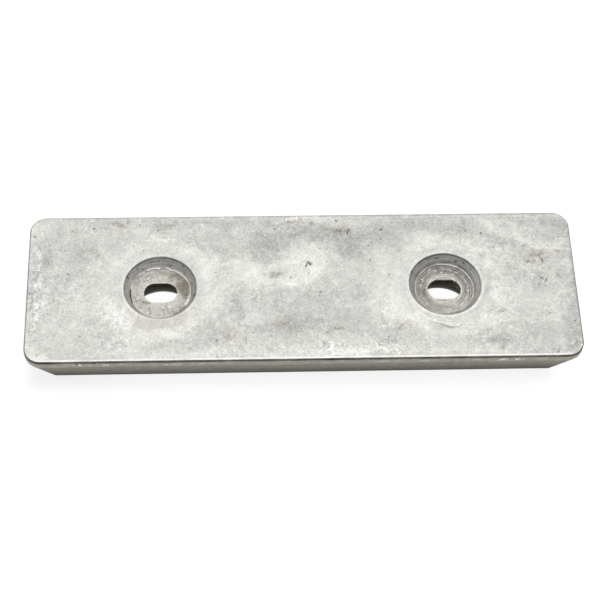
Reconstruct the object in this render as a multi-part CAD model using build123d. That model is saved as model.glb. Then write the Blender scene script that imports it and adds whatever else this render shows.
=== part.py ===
from build123d import *
import os

# Bolt-on hull anode: a light alloy casting poured round a slotted steel strap.
# Millimetres. X runs along the block and Y across it. Z = 0 is the outer (small) face,
# which it stands on, and +Z points to the hull face. Origin: centre of the outer face.

# --- casting -----------------------------------------------------------------
block_length = 210.0          # hull face, end to end
block_width = 65.0            # hull face, side to side
block_thickness = 25.0        # outer face to hull face
plan_corner_radius = 6.5      # upright corners of the land round the hull face
land_height = 3.6             # upright band just under the hull face
end_inset = 8.7               # each end wall leans in this far from the land to the outer face
side_inset = 8.7              # each long wall leans in this far
outer_corner_radius = 1.4     # corners of the outer face, where the walls gather almost to a point
hull_edge_radius = 0.4        # arris round the poured hull face
knuckle_radius = 3.0          # soft turn from the land into the leaning walls
outer_edge_radius = 0.9       # rounded foot of the walls

# --- steel strap, cast in ------------------------------------------------------
strap_length = 150.0
strap_width = 30.0
strap_thickness = 3.0
slot_pitch = 109.0            # centre to centre of the two bolt slots
slot_length = 12.5            # end to end, along the block
slot_width = 8.5              # clears an M8 stud
slot_lead_in = 0.4            # broken edge on the hull side of each slot

# --- round recesses that bare the strap ----------------------------------------
hull_recess_depth = 4.0       # hull face down to the strap
hull_recess_mouth = 28.0      # diameter at the hull face
hull_recess_floor = 22.0      # diameter at the strap
nut_pocket_mouth = 27.0       # diameter at the outer face
nut_pocket_floor = 23.0       # diameter at the strap, room for an M8 socket
mouth_edge_radius = 0.5       # rounded rim of every recess

# --- levels worked out from the sizes above ------------------------------------
level_slack = 0.001           # heights this close together count as one level
land_foot = block_thickness - land_height
strap_top = block_thickness - hull_recess_depth
strap_foot = strap_top - strap_thickness
slot_places = [Pos(-slot_pitch / 2, 0, 0), Pos(slot_pitch / 2, 0, 0)]


def edges_at(solid, level):
    """All edges of a solid that lie in the level plane Z = level."""
    return solid.edges().filter_by_position(Axis.Z, level - level_slack, level + level_slack)


def walls():
    """Upright land, then four walls that lean in and gather the corners almost to a point."""
    shoulder = Pos(0, 0, land_foot) * RectangleRounded(block_length, block_width, plan_corner_radius)
    foot = RectangleRounded(
        block_length - 2 * end_inset, block_width - 2 * side_inset, outer_corner_radius
    )
    return extrude(shoulder, amount=land_height) + loft([foot, shoulder], ruled=True)


def soften(body):
    """Round the foot of the walls, the knuckle under the land and the hull face's arris."""
    body = fillet(edges_at(body, 0), outer_edge_radius)
    body = fillet(edges_at(body, land_foot), knuckle_radius)
    return fillet(edges_at(body, block_thickness), hull_edge_radius)


def hull_recess():
    """Shallow dished seat on the hull side, from the hull face down to the strap."""
    cone = Cone(hull_recess_floor / 2, hull_recess_mouth / 2, hull_recess_depth)
    return Pos(0, 0, (block_thickness + strap_top) / 2) * cone


def nut_pocket():
    """Deep drafted pocket for nut and socket, from the outer face up to the strap."""
    cone = Cone(nut_pocket_mouth / 2, nut_pocket_floor / 2, strap_foot)
    return Pos(0, 0, strap_foot / 2) * cone


def round_mouths(body):
    """Break the rims of the recesses: the circles left in the hull face and the outer face."""
    for level in (block_thickness, 0):
        rims = edges_at(body, level).filter_by(GeomType.CIRCLE)
        rims = rims.filter_by(lambda rim: rim.radius > plan_corner_radius)
        body = fillet(rims, mouth_edge_radius)
    return body


def strap_blank():
    """Flat bar before its slots are punched, which is also the room it takes in the casting."""
    bar = Box(strap_length, strap_width, strap_thickness)
    return Pos(0, 0, (strap_top + strap_foot) / 2) * bar


def anode_block():
    """The casting: leaning walls, two recesses each side, and the strap's room inside."""
    body = soften(walls())
    for place in slot_places:
        body -= place * hull_recess()
        body -= place * nut_pocket()
    return round_mouths(body) - strap_blank()


def steel_strap():
    """Steel bar with two slots along the block, their hull side edges broken."""
    strap = strap_blank()
    slot = Pos(0, 0, strap_foot) * extrude(SlotOverall(slot_length, slot_width), amount=strap_thickness)
    for place in slot_places:
        strap -= place * slot
    slot_rims = [
        edge for edge in edges_at(strap, strap_top)
        if edge.bounding_box().size.X <= slot_length and edge.bounding_box().size.Y <= slot_width
    ]
    return chamfer(slot_rims, slot_lead_in)


def save(name, shape):
    """Write one piece to the parts folder under its own name."""
    shape.label = name
    export_step(shape, f"parts/{name}.step")


os.makedirs("parts", exist_ok=True)
save("anode_block", anode_block())
save("steel_strap", steel_strap())
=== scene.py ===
"""Bolt-on hull anode: a light alloy block poured round a slotted steel strap.

Laid out as an add-on and run as a script. Everything is in metres in the part's own frame:
X along the block, Y across it, Z = 0 the outer face that it stands on, +Z to the poured hull face.
Inside the shape functions lengths are in millimetres, and the meshes are scaled once, when they
are written.
"""

import math

import bpy
import numpy as np
from bpy.props import FloatProperty, FloatVectorProperty, PointerProperty
from mathutils import Matrix, Vector


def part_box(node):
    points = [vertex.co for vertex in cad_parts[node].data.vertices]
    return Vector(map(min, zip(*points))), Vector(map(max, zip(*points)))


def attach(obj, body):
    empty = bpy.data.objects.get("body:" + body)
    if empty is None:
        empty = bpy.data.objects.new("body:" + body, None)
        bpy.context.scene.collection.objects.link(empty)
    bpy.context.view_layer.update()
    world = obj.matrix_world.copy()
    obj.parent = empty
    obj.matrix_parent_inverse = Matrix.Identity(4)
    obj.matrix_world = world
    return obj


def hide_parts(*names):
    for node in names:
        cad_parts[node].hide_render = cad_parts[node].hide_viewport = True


bl_info = {
    "name": "Hull Anode Builder",
    "version": (1, 0, 0),
    "blender": (4, 5, 0),
    "location": "3D View > Sidebar > Anode",
    "description": "Builds a bolt-on hull anode with its cast skin, its strap and a plain stage",
    "category": "Add Mesh",
}

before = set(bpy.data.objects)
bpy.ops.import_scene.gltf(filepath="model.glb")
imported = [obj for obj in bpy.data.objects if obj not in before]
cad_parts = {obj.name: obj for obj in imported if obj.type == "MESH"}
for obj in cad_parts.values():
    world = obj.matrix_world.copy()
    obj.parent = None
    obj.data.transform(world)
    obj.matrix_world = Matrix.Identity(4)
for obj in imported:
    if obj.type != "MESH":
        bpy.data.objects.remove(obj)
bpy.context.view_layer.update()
block_low, block_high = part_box("anode_block")
bar_low, bar_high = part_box("steel_strap")

MM = 0.001


# --------------------------------------------------------------------------------------
# Sizes and colours that a maker would change
# --------------------------------------------------------------------------------------

def length(name, description, default):
    """A length property, its default given in metres."""
    return FloatProperty(
        name=name, description=description, default=default, min=0.0, unit="LENGTH", precision=5
    )


def amount(name, description, default, low=0.0, **more):
    """A plain number property."""
    return FloatProperty(name=name, description=description, default=default, min=low, **more)


def colour(name, description, default):
    """A linear colour property."""
    return FloatVectorProperty(
        name=name, description=description, default=default, size=3, min=0.0, max=1.0,
        subtype="COLOR",
    )


class CastingSizes(bpy.types.PropertyGroup):
    """Sizes of the alloy casting."""

    span: length("Length", "Hull face, end to end", block_high.x - block_low.x)
    width: length("Width", "Hull face, side to side", block_high.y - block_low.y)
    thickness: length("Thickness", "Outer face to hull face", block_high.z - block_low.z)
    plan_corner: length("Plan Corner", "Radius of the land's upright corners", 0.0065)
    foot_corner: length("Foot Corner", "Corner radius of the outer face", 0.0014)
    land: length("Land", "Upright band under the hull face", 0.0036)
    inset: length("Inset", "How far each wall leans in at its foot", 0.0087)
    arris: length("Arris", "Rounding round the hull face", 0.0004)
    knuckle: length("Knuckle", "Turn from the land into the leaning wall", 0.003)
    foot_round: length("Foot Rounding", "Rounding at the foot of the walls", 0.0009)
    hole_pitch: length("Hole Pitch", "Centre to centre of the recesses", 0.109)
    recess_mouth: length("Recess Mouth", "Radius of a hull recess at the hull face", 0.014)
    recess_floor: length("Recess Floor", "Radius of a hull recess at the strap", 0.011)
    pocket_mouth: length("Pocket Mouth", "Radius of a nut pocket at the outer face", 0.0135)
    pocket_floor: length("Pocket Floor", "Radius of a nut pocket at the strap", 0.0115)
    mouth_round: length("Mouth Rounding", "Rounding at every recess rim", 0.0005)
    skin: length("Flash Skin", "Thickness of the alloy skin that ran over the strap", 0.00028)


class StrapSizes(bpy.types.PropertyGroup):
    """Sizes of the steel strap."""

    span: length("Length", "Strap, end to end", bar_high.x - bar_low.x)
    width: length("Width", "Strap, side to side", bar_high.y - bar_low.y)
    top: length("Top", "Height of the strap's hull side", bar_high.z)
    foot: length("Foot", "Height of the strap's outer side", bar_low.z)
    slot_length: length("Slot Length", "Bolt slot, end to end", 0.0125)
    slot_width: length("Slot Width", "Bolt slot, side to side", 0.0085)
    lead_in: length("Lead-in", "Rounded edge on the hull side of each slot", 0.0004)


class FinishColours(bpy.types.PropertyGroup):
    """Colours of the metals."""

    alloy: colour("Alloy", "Bare cast alloy", (0.672, 0.666, 0.636))
    # Mould Side is partly the mould skin's own duller grey and partly painted shade, as the leaning
    # walls face down towards the floor.
    mould_skin_and_shade: colour("Mould Side", "Duller skin from the mould", (0.285, 0.274, 0.238))
    alloy_bore: colour("Recess Wall", "Coned walls of the recesses", (0.47, 0.465, 0.445))
    # Pocket Wall is painted shade, near black, in the nut pockets, which light reaches only through
    # the slots.
    pocket: colour("Pocket Wall", "Dirty walls of the nut pockets", (0.020, 0.018, 0.0145))
    alloy_plate: colour("Plate Mark", "Flat patch by the left recess", (0.655, 0.635, 0.59))
    alloy_stain: colour("Alloy Stain", "Brown scum of the pour", (0.30, 0.262, 0.205))
    pit: colour("Pit", "Inside of pits and cracks", (0.035, 0.033, 0.028))
    steel: colour("Steel", "Strap where the recesses bare it", (0.64, 0.622, 0.58))
    steel_stain: colour("Steel Stain", "Brown stain on the strap", (0.31, 0.275, 0.225))
    # Cut Face is the sheared steel's own dark, deepened by painted shade inside the slots.
    cut: colour("Cut Face", "Walls of the punched slots", (0.012, 0.011, 0.008))


class StageSettings(bpy.types.PropertyGroup):
    """Floor, lamps and camera."""

    floor_size: length("Floor", "Side of the square floor", 6.0)
    floor_grey: amount(
        "Floor Grey", "How much the floor answers the lamps", 0.17, max=1.0, subtype="FACTOR"
    )
    floor_glow: amount(
        "Floor White", "White that a straight look at the floor adds", 0.868, max=1.0,
        subtype="FACTOR",
    )
    dome: amount("Dome Front", "Strength of the dome in front", 0.36)
    dome_back: amount("Dome Back", "Strength of the dome behind", 0.78)
    lamp: amount("Lamp", "Strength of the broad lamp", 0.72)
    lens: amount("Lens", "Focal length on a 36 mm sensor", 106.42, 1.0)


# --------------------------------------------------------------------------------------
# Gradient noise on whole arrays
# --------------------------------------------------------------------------------------

def hashed(ix, iy, iz, seed):
    """Whole numbers mixed into one well-stirred 32-bit number for each lattice corner."""
    h = (ix * np.uint32(73856093)) ^ (iy * np.uint32(19349663)) ^ (iz * np.uint32(83492791))
    h = h + np.uint32((seed * 2654435761) % 4294967296)
    h = (h ^ (h >> np.uint32(15))) * np.uint32(2246822519)
    h = (h ^ (h >> np.uint32(13))) * np.uint32(3266489917)
    return h ^ (h >> np.uint32(16))


def ripple(points, cell, seed):
    """Gradient noise of about -1 to 1: each lattice corner has a random slope, and the slopes'
    ramps are blended with the curve 6t^5 - 15t^4 + 10t^3 across a cell of the given size."""
    q = points / cell + 64.37
    base = np.floor(q)
    part = q - base
    fade = part ** 3 * (part * (part * 6 - 15) + 10)
    whole = base.astype(np.int64).astype(np.uint32)
    total = np.zeros(len(points))
    for corner in np.ndindex(2, 2, 2):
        step = np.array(corner, np.uint32)
        h = hashed(*(whole + step).T, seed)
        slope = np.stack([(h & 1023), (h >> 10) & 1023, (h >> 20) & 1023], -1) / 511.5 - 1.0
        ramp = ((part - step) * slope).sum(1)
        weight = np.where(step == 1, fade, 1 - fade).prod(1)
        total += ramp * weight
    return total * 1.6


def layered(points, cell, seed, layers=3, fall=0.5):
    """Gradient noise summed over ever finer cells, each layer weaker by the factor fall."""
    total, size = 0.0, 1.0
    for layer in range(layers):
        total = total + size * ripple(points, cell / 2 ** layer, seed + 17 * layer)
        size *= fall
    return total


def smooth(low, high, value):
    """0 below low, 1 above high, and 3t^2 - 2t^3 between them."""
    t = np.clip((value - low) / (high - low), 0, 1)
    return t * t * (3 - 2 * t)


def bell(value, centre, spread):
    """1 at the centre, and exp(-t^2) away from it, t being the distance in spreads."""
    return np.exp(-((value - centre) / spread) ** 2)


def reach(x, y, mark):
    """Distance from each point to a mark's straight run, in half-widths of the mark."""
    ax, ay, bx, by, half = mark[:5]
    run = (bx - ax) ** 2 + (by - ay) ** 2
    t = np.zeros_like(x) if run == 0 else np.clip(
        ((x - ax) * (bx - ax) + (y - ay) * (by - ay)) / run, 0, 1
    )
    return np.hypot(x - ax - t * (bx - ax), y - ay - t * (by - ay)) / half


# --------------------------------------------------------------------------------------
# Patches of skin, sewn into one closed mesh
# --------------------------------------------------------------------------------------

class Quilt:
    """Patches of one closed skin, sewn where their points meet."""

    def __init__(self):
        self.points, self.quads, self.tris, self.count = [], [], [], 0

    def lay(self, points, faces):
        """Adds loose points, and faces that index them."""
        points = points.reshape(-1, 3)
        (self.quads if faces.shape[1] == 4 else self.tris).append(faces + self.count)
        self.points.append(points)
        self.count += len(points)

    def grid(self, points, keep=None, flip=False):
        """A patch on a grid: a (rows, columns, 3) array. Seen with columns to the right and rows
        upward it faces the viewer, unless it is flipped. keep says which cells stay."""
        rows, columns = points.shape[:2]
        index = np.arange(rows * columns).reshape(rows, columns)
        faces = np.stack([index[:-1, :-1], index[:-1, 1:], index[1:, 1:], index[1:, :-1]], -1)
        faces = faces.reshape(-1, 4) if keep is None else faces[keep]
        self.lay(points, faces[:, ::-1] if flip else faces)

    def band(self, loops, flip=False):
        """A band round a hole or a body: closed loops of equal length, one row each."""
        self.grid(np.concatenate([loops, loops[:, :1]], 1), flip=flip)

    def halve(self, fine, coarse, flip=False):
        """A row that joins a closed loop to one with half as many points, three triangles for
        each pair of cells."""
        n = len(coarse)
        i, j = np.arange(n), (np.arange(n) + 1) % n
        a, b, c = 2 * i, 2 * i + 1, 2 * j
        d, e = 2 * n + i, 2 * n + j
        faces = np.concatenate([
            np.stack([a, b, d], -1), np.stack([b, e, d], -1), np.stack([b, c, e], -1)
        ])
        self.lay(np.concatenate([fine, coarse]), faces[:, ::-1] if flip else faces)

    def sewn(self):
        """All points once, with the faces renumbered."""
        points = np.concatenate(self.points)
        key = np.floor(points * 2000 + 0.3711).astype(np.int64)
        _, first, where = np.unique(key, axis=0, return_index=True, return_inverse=True)
        where = where.reshape(-1)
        tris = np.concatenate(self.tris) if self.tris else np.zeros((0, 3), int)
        return points[first], where[np.concatenate(self.quads)], where[tris]


def at_height(loop, z):
    """A flat loop of (x, y) points lifted to a height, or to one height per point."""
    return np.concatenate([loop, np.broadcast_to(z, loop.shape[:-1])[..., None]], -1)


def ease_between(inner, outer, shares, z):
    """Flat loops from one outline to another, at the given shares of the way."""
    return [at_height(inner + (outer - inner) * t, z) for t in shares]


def joined(*runs):
    """Grid lines run after run, with each shared end kept once."""
    return np.concatenate([run[:-1] for run in runs[:-1]] + [runs[-1]])


def rim_of(xs, ys):
    """The rectangle round a set of grid lines, anticlockwise from its low corner."""
    ones_x, ones_y = np.ones(len(xs) - 1), np.ones(len(ys) - 1)
    return np.stack([
        np.concatenate([xs[:-1], xs[-1] * ones_y, xs[:0:-1], xs[0] * ones_y]),
        np.concatenate([ys[0] * ones_x, ys[:-1], ys[-1] * ones_x, ys[:0:-1]]),
    ], -1)


def rays_of(loop, centre):
    """A direction for each point of a square loop: half-way between its true bearing from the
    centre and an even spread, from the low corner round anticlockwise."""
    true = np.unwrap(np.arctan2(loop[:, 1] - centre[1], loop[:, 0] - centre[0]))
    even = true[0] + np.arange(len(loop)) * math.tau / len(loop)
    return (true + even) / 2


def circle(centre, rays, radius):
    """Points at a radius from a centre, or at one radius per ray."""
    return np.stack([centre[0] + radius * np.cos(rays), centre[1] + radius * np.sin(rays)], -1)


def crowd(low, high, count, spot=None, pull=0.0, reach_mm=3.0):
    """Grid lines from low to high, closer together round a spot: line spacing is 1 over
    1 + pull times a bell curve of that reach."""
    fine = np.linspace(low, high, 4001)
    if spot is None:
        return np.linspace(low, high, count + 1)
    density = 1 + pull * bell(fine, spot, reach_mm)
    filled = np.concatenate([[0], np.cumsum((density[1:] + density[:-1]) / 2)])
    return np.interp(np.linspace(0, filled[-1], count + 1), filled, fine)


def rounded_outline(half_length, half_width, corner, columns):
    """A rounded rectangle whose columns match those of a plain one. Each side's share runs from
    the middle of one corner arc to the middle of the next. A column keeps its place along the
    side until near the corner, where the last ones fan out round the arc: the extra length is
    handed out with the fifth power of the way to the corner."""
    loops = []
    for turn, (along, across, line) in enumerate((
        (half_length, half_width, columns[0]), (half_width, half_length, columns[1]),
        (half_length, half_width, columns[0]), (half_width, half_length, columns[1]),
    )):
        straight = along - corner
        half_arc = corner * math.pi / 4
        place = line / line[-1]
        s = line + np.sign(line) * np.abs(place) ** 5 * (straight + half_arc - line[-1])
        over = np.clip(np.abs(s) - straight, 0, None) / corner
        u = np.sign(s) * (np.minimum(np.abs(s), straight) + corner * np.sin(over))
        v = across - corner * (1 - np.cos(over))
        u, v = u[:-1], v[:-1]
        loops.append(np.stack(((u, -v), (v, u), (-u, v), (-v, -u))[turn], -1))
    return np.concatenate(loops)


def normals_of(points, quads, tris):
    """Vertex normals: the faces' area-weighted normals added up at their corners."""
    faces = np.concatenate([quads[:, [0, 1, 2]], quads[:, [0, 2, 3]], tris])
    a, b, c = points[faces[:, 0]], points[faces[:, 1]], points[faces[:, 2]]
    flat = np.cross(b - a, c - a)
    total = np.stack([
        sum(np.bincount(faces[:, k], flat[:, axis], len(points)) for k in range(3))
        for axis in range(3)
    ], -1)
    return total / np.maximum(np.linalg.norm(total, axis=1, keepdims=True), 1e-12)


def write_piece(name, points, quads, tris, material, attributes, node):
    """Makes the mesh object from millimetres, gives it its fields and hands it to the frame."""
    old = bpy.data.objects.get(name)
    if old is not None:
        bpy.data.objects.remove(old, do_unlink=True)
    mesh = bpy.data.meshes.new(name)
    mesh.from_pydata((points * MM).tolist(), [], quads.tolist() + tris.tolist())
    mesh.polygons.foreach_set("use_smooth", np.ones(len(mesh.polygons), bool))
    for field, values in attributes.items():
        kind, part = ("FLOAT", "value") if values.ndim == 1 else ("FLOAT_VECTOR", "vector")
        layer = mesh.attributes.new(field, kind, "POINT")
        layer.data.foreach_set(part, values.astype(np.float32).ravel())
    mesh.update()
    if mesh.validate():
        raise RuntimeError(f"{name}: the mesh had faults")
    piece = bpy.data.objects.new(name, mesh)
    bpy.context.scene.collection.objects.link(piece)
    mesh.materials.append(material)
    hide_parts(node)
    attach(piece, "root")
    return piece


# --------------------------------------------------------------------------------------
# Marks of the pour and of handling, in millimetres on the hull face
# --------------------------------------------------------------------------------------

# Light and dark clouds of the poured skin: x, y, half-length, half-width, turn, lightness.
CLOUDS = (
    (-71.5, -13, 8.5, 4.5, 125, 0.17), (-73, 8.5, 4.5, 2.6, 60, 0.10), (-66, 17, 4, 3, 40, 0.07),
    (-37.5, 8, 5, 4, 90, 0.13), (-34, -8, 6, 3, 80, 0.08), (-43, 17, 4, 2.5, -40, 0.06),
    (-20, 6, 7.5, 4.5, -40, 0.17), (-8, 1, 6, 1.6, -8, 0.10), (-4, 12, 5, 3, 30, 0.07),
    (1, 3.5, 6.5, 3.2, 25, 0.16), (7, 10, 3.2, 5, 0, 0.14), (1, 15, 7, 2.6, 0, 0.12),
    (-3, 9, 3, 5, 0, 0.10), (31, 10, 3, 5, 0, 0.07), (34, -9, 4, 7, 0, 0.14),
    (43, -17, 6, 3, -35, 0.12), (47, 19, 6, 2.5, 40, 0.09), (57, -22.5, 10, 1.8, 0, 0.08),
    (72, -16, 4.5, 2.5, 20, 0.12), (77, -5, 6, 6, 0, 0.06), (73, 10, 2.5, 7, 20, 0.06),
    (-55, -21.5, 9, 1.8, 0, 0.09), (-45, -17, 6, 2, 45, 0.08), (-66, -26.5, 7, 2.5, 20, 0.07),
    (-19, -14, 3.5, 3, 0, 0.07), (12, -29.5, 8, 2.5, 0, 0.12), (22, -29.5, 9, 2.4, 0, 0.10),
    (-8, -29.5, 30, 2.6, 0, 0.07), (-100, -30.5, 5, 1.6, 0, 0.12), (56, -29.5, 30, 1.8, 0, 0.05),
    (74, 26.5, 7, 1.6, -38, 0.15), (88, 18.5, 12, 1.5, -25, 0.10), (95, 17.6, 8, 1.3, 0, 0.06),
    (-101, 0, 1.6, 18, 0, 0.08), (2, 30.6, 9, 1.0, 0, 0.14), (-30, 3, 5, 9, 0, 0.05),
    (-86, -12, 9, 5, 40, 0.05), (-64, 26, 5, 2.2, 30, 0.05), (91, -8, 8, 3, 10, 0.04),
    (20, 17, 6, 5.5, 20, -0.16), (5, 23.5, 20, 3.6, 0, -0.14), (-15, 18.5, 7, 5.5, 0, -0.13),
    (30, 22, 10, 4.5, -10, -0.10), (-30, 20, 10, 5, 0, -0.06), (45, 26.5, 14, 3.6, 0, -0.12),
    (62, 25.5, 5, 3.5, 0, -0.12), (75.5, 21.2, 5, 1.6, -38, -0.09), (91, 12, 3.5, 4, 0, -0.06),
    (91.5, 1, 3.5, 4, 0, -0.08), (100, 26, 7, 4.5, 0, -0.10), (84, 29, 8, 2, -10, -0.06),
    (72.5, -26, 6, 2.2, 0, -0.15), (90, -23, 9, 4.5, 0, -0.08), (103, -12, 2.2, 12, 0, -0.05),
    (-5.5, -17, 7, 4.5, 20, -0.14), (-25.5, -9, 2.6, 7, 10, -0.09), (15, -15, 12, 6, -10, -0.07),
    (9, -6, 8, 4.5, 15, -0.06), (22, -3, 6, 4, 0, -0.05), (-10.5, 5.5, 3, 2, -15, -0.07),
    (-34, -21, 8, 4, 0, -0.06), (-97, 14, 2.5, 8, 0, -0.09), (-86, 16, 6, 4.5, 0, -0.06),
    (-72, 30, 5, 2, 0, -0.08), (-52, 29, 6, 2, 0, -0.09), (-92, 3, 4, 4, 0, -0.05),
    (3, 9.3, 3, 2.5, 0, 0.10), (2, -18.5, 5.5, 3, 0, -0.13), (71.5, 0, 2.5, 8, 0, -0.10),
    (-10, 17, 5, 3, 0, -0.05), (10, 17, 4, 3, 0, -0.06), (-15, -18, 9, 3, 0, -0.05),
    (-103, -7, 3, 4, 0, -0.07), (0, -6, 4, 3, 0, -0.05), (-33.5, -12, 2, 4, 0, -0.05),
    (10, -28.5, 3, 2.5, 0, -0.10), (-55, 23, 6, 2, 0, 0.07), (-25, 21, 9, 3, 0, 0.04),
    (-5, 11, 4, 3, 0, 0.06), (71, 16, 4, 2.5, 0, 0.07), (76, -12, 6, 4, 0, 0.05),
    (97, -14, 5, 4, 0, 0.05), (30, -28, 8, 2, 0, 0.07), (-82, -4, 7, 6, 0, 0.03),
    (-101, 27, 4, 4, 0, 0.05), (-56, -22, 13, 2.2, 0, 0.06), (-25, 28.8, 26, 2.2, 0, -0.07),
    (102, 0, 3.5, 26, 0, -0.05), (98, 11, 4, 3, 0, -0.04), (-100, 5, 3, 6, 0, -0.08),
    (-57, -30, 6, 1.6, 0, 0.09), (-41, -30, 6, 1.6, 0, 0.08), (-102, -30, 3, 1.8, 0, 0.08),
    (50, -18, 6, 1.6, -15, -0.07), (-34.5, -1, 1.6, 6, 0, -0.07), (13, 13, 3, 2.5, 0, 0.07),
    (26, -6, 3, 9, 0, 0.06), (16, -28, 12, 2.2, 0, 0.08), (-33, 12, 2, 4, 0, 0.06),
    (99, 19.5, 4, 1.5, 0, -0.02), (70, 12, 2, 3, 0, -0.06), (72.5, -5, 2.5, 3, 0, -0.06),
    (45, -16.8, 2.5, 2.5, 0, -0.11), (102, -26, 3, 4, 0, -0.08), (90, -30, 4, 2, 0, -0.08),
    (-4, 13.5, 2.5, 2.5, 0, -0.12), (-28, 8, 1.6, 4, 0, -0.06), (8.5, 12, 2, 3, 0, -0.08),
    (-73, 7.5, 2.5, 2.5, 0, -0.10), (-102, -7, 3, 3, 0, -0.05), (10, -28, 2, 2.5, 0, -0.06),
    (-78, 9.5, 3, 2, 0, 0.08), (-5, -18, 7, 2.5, 0, 0.06), (38, -16, 4, 3, 0, 0.07),
    (-70, -28, 10, 2, 0, 0.07), (-102, -28, 4, 3, 0, 0.11), (-42, -29, 13, 1.8, 0, 0.05),
    (8, -25.8, 6, 1.6, 0, 0.07), (101, -5, 2.5, 4, 0, 0.08), (89, 9, 3, 2.5, -50, 0.05),
    (79.5, 21.3, 6, 1.8, -38, -0.09), (99, 28, 7, 3, 0, -0.03), (102, -22, 3, 8, 0, -0.06),
    (68, 28, 5, 2.5, 0, -0.05), (2, 9, 4, 3, 0, 0.06), (-12, 8.5, 5, 3, 0, 0.07),
    (-89, -20, 8, 5, 0, 0.05), (-78, 2, 3, 6, 0, 0.05), (-69, 11, 3, 2.5, 0, 0.07),
    (30, 0, 2.5, 8, 0, 0.05), (20, -25, 8, 2, 0, 0.05), (-102, 3, 2.5, 7, 0, -0.05),
    (-8, -9, 8, 3, 0, -0.05), (-15, -18, 7, 2, 0, -0.04), (102, 8, 2.5, 3, 0, 0.04),
    (-45, -26, 8, 3, 0, -0.04), (33, -22, 4, 4, 0, -0.04), (105, 3, 1.2, 24, 0, -0.07),
)

# Brown scum: x, y, half-length, half-width, turn, strength.
SCUM = (
    (-70, 28.6, 3.5, 1.3, 10, 0.8), (-4, 28.7, 6, 0.7, -5, 0.7), (6, 27.6, 5, 0.7, -22, 0.8),
    (13.5, 25.7, 4.5, 0.7, -8, 0.9), (16, 24.6, 2.6, 1.1, 20, 0.6),
    (13.3, -19.1, 2.4, 0.8, 10, 0.8), (-6, -17.5, 2.2, 3.4, 0, 0.5),
    (-27.5, -21.5, 1.6, 1.8, 30, 0.5), (91, 12.3, 4.5, 3.2, 40, 0.6), (88, 9, 1.8, 1.6, 0, 0.5),
    (100.3, 4.5, 1.5, 1.0, 0, 0.6), (98.5, 14.5, 1.3, 0.9, 0, 0.6), (-52, 28.6, 4.5, 1.0, 0, 0.4),
    (73, -25, 3, 1.0, 20, 0.5), (44.6, 31.4, 1.4, 0.5, 0, 0.9), (-10, -17, 3.0, 1.6, 0, 0.3),
    (-33.2, -23.6, 1.0, 0.7, 0, 0.8), (-85, 15, 3, 2, 0, 0.25), (-10.8, 5.2, 2.4, 1.6, -20, 0.5),
    (20.5, -4.6, 1.4, 0.8, 0, 0.3), (2, -5.5, 2.2, 0.9, 0, 0.3), (36, -21, 1.6, 1.6, 0, 0.5),
)

# Bumpy, frothy skin: x, y, half-length, half-width, turn, strength.
FROTH = (
    (-71.5, -13, 8, 5, 120, 1.0), (-100.5, 0, 3.0, 21, 0, 1.0), (16, -28, 14, 3, -3, 1.0),
    (32, -27.5, 5, 3, 0, 1.0), (104, -27, 2, 4, 0, 0.8), (1, 3.5, 5, 3, 20, 0.5),
    (31, -6, 4, 9, 0, 0.45), (7, 9, 3, 5, 0, 0.4), (-56, 22, 8, 1.5, 0, 0.5),
    (43, -17, 5, 3, -35, 0.5), (12, -24.5, 4, 1, 0, 0.8), (-22, -13, 6, 3, 20, 0.4),
    (-70, -23, 8, 1.6, 0, 0.7), (100, 26, 5, 3, 0, 0.4), (72, -13, 6, 3, 20, 0.4),
)

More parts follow.
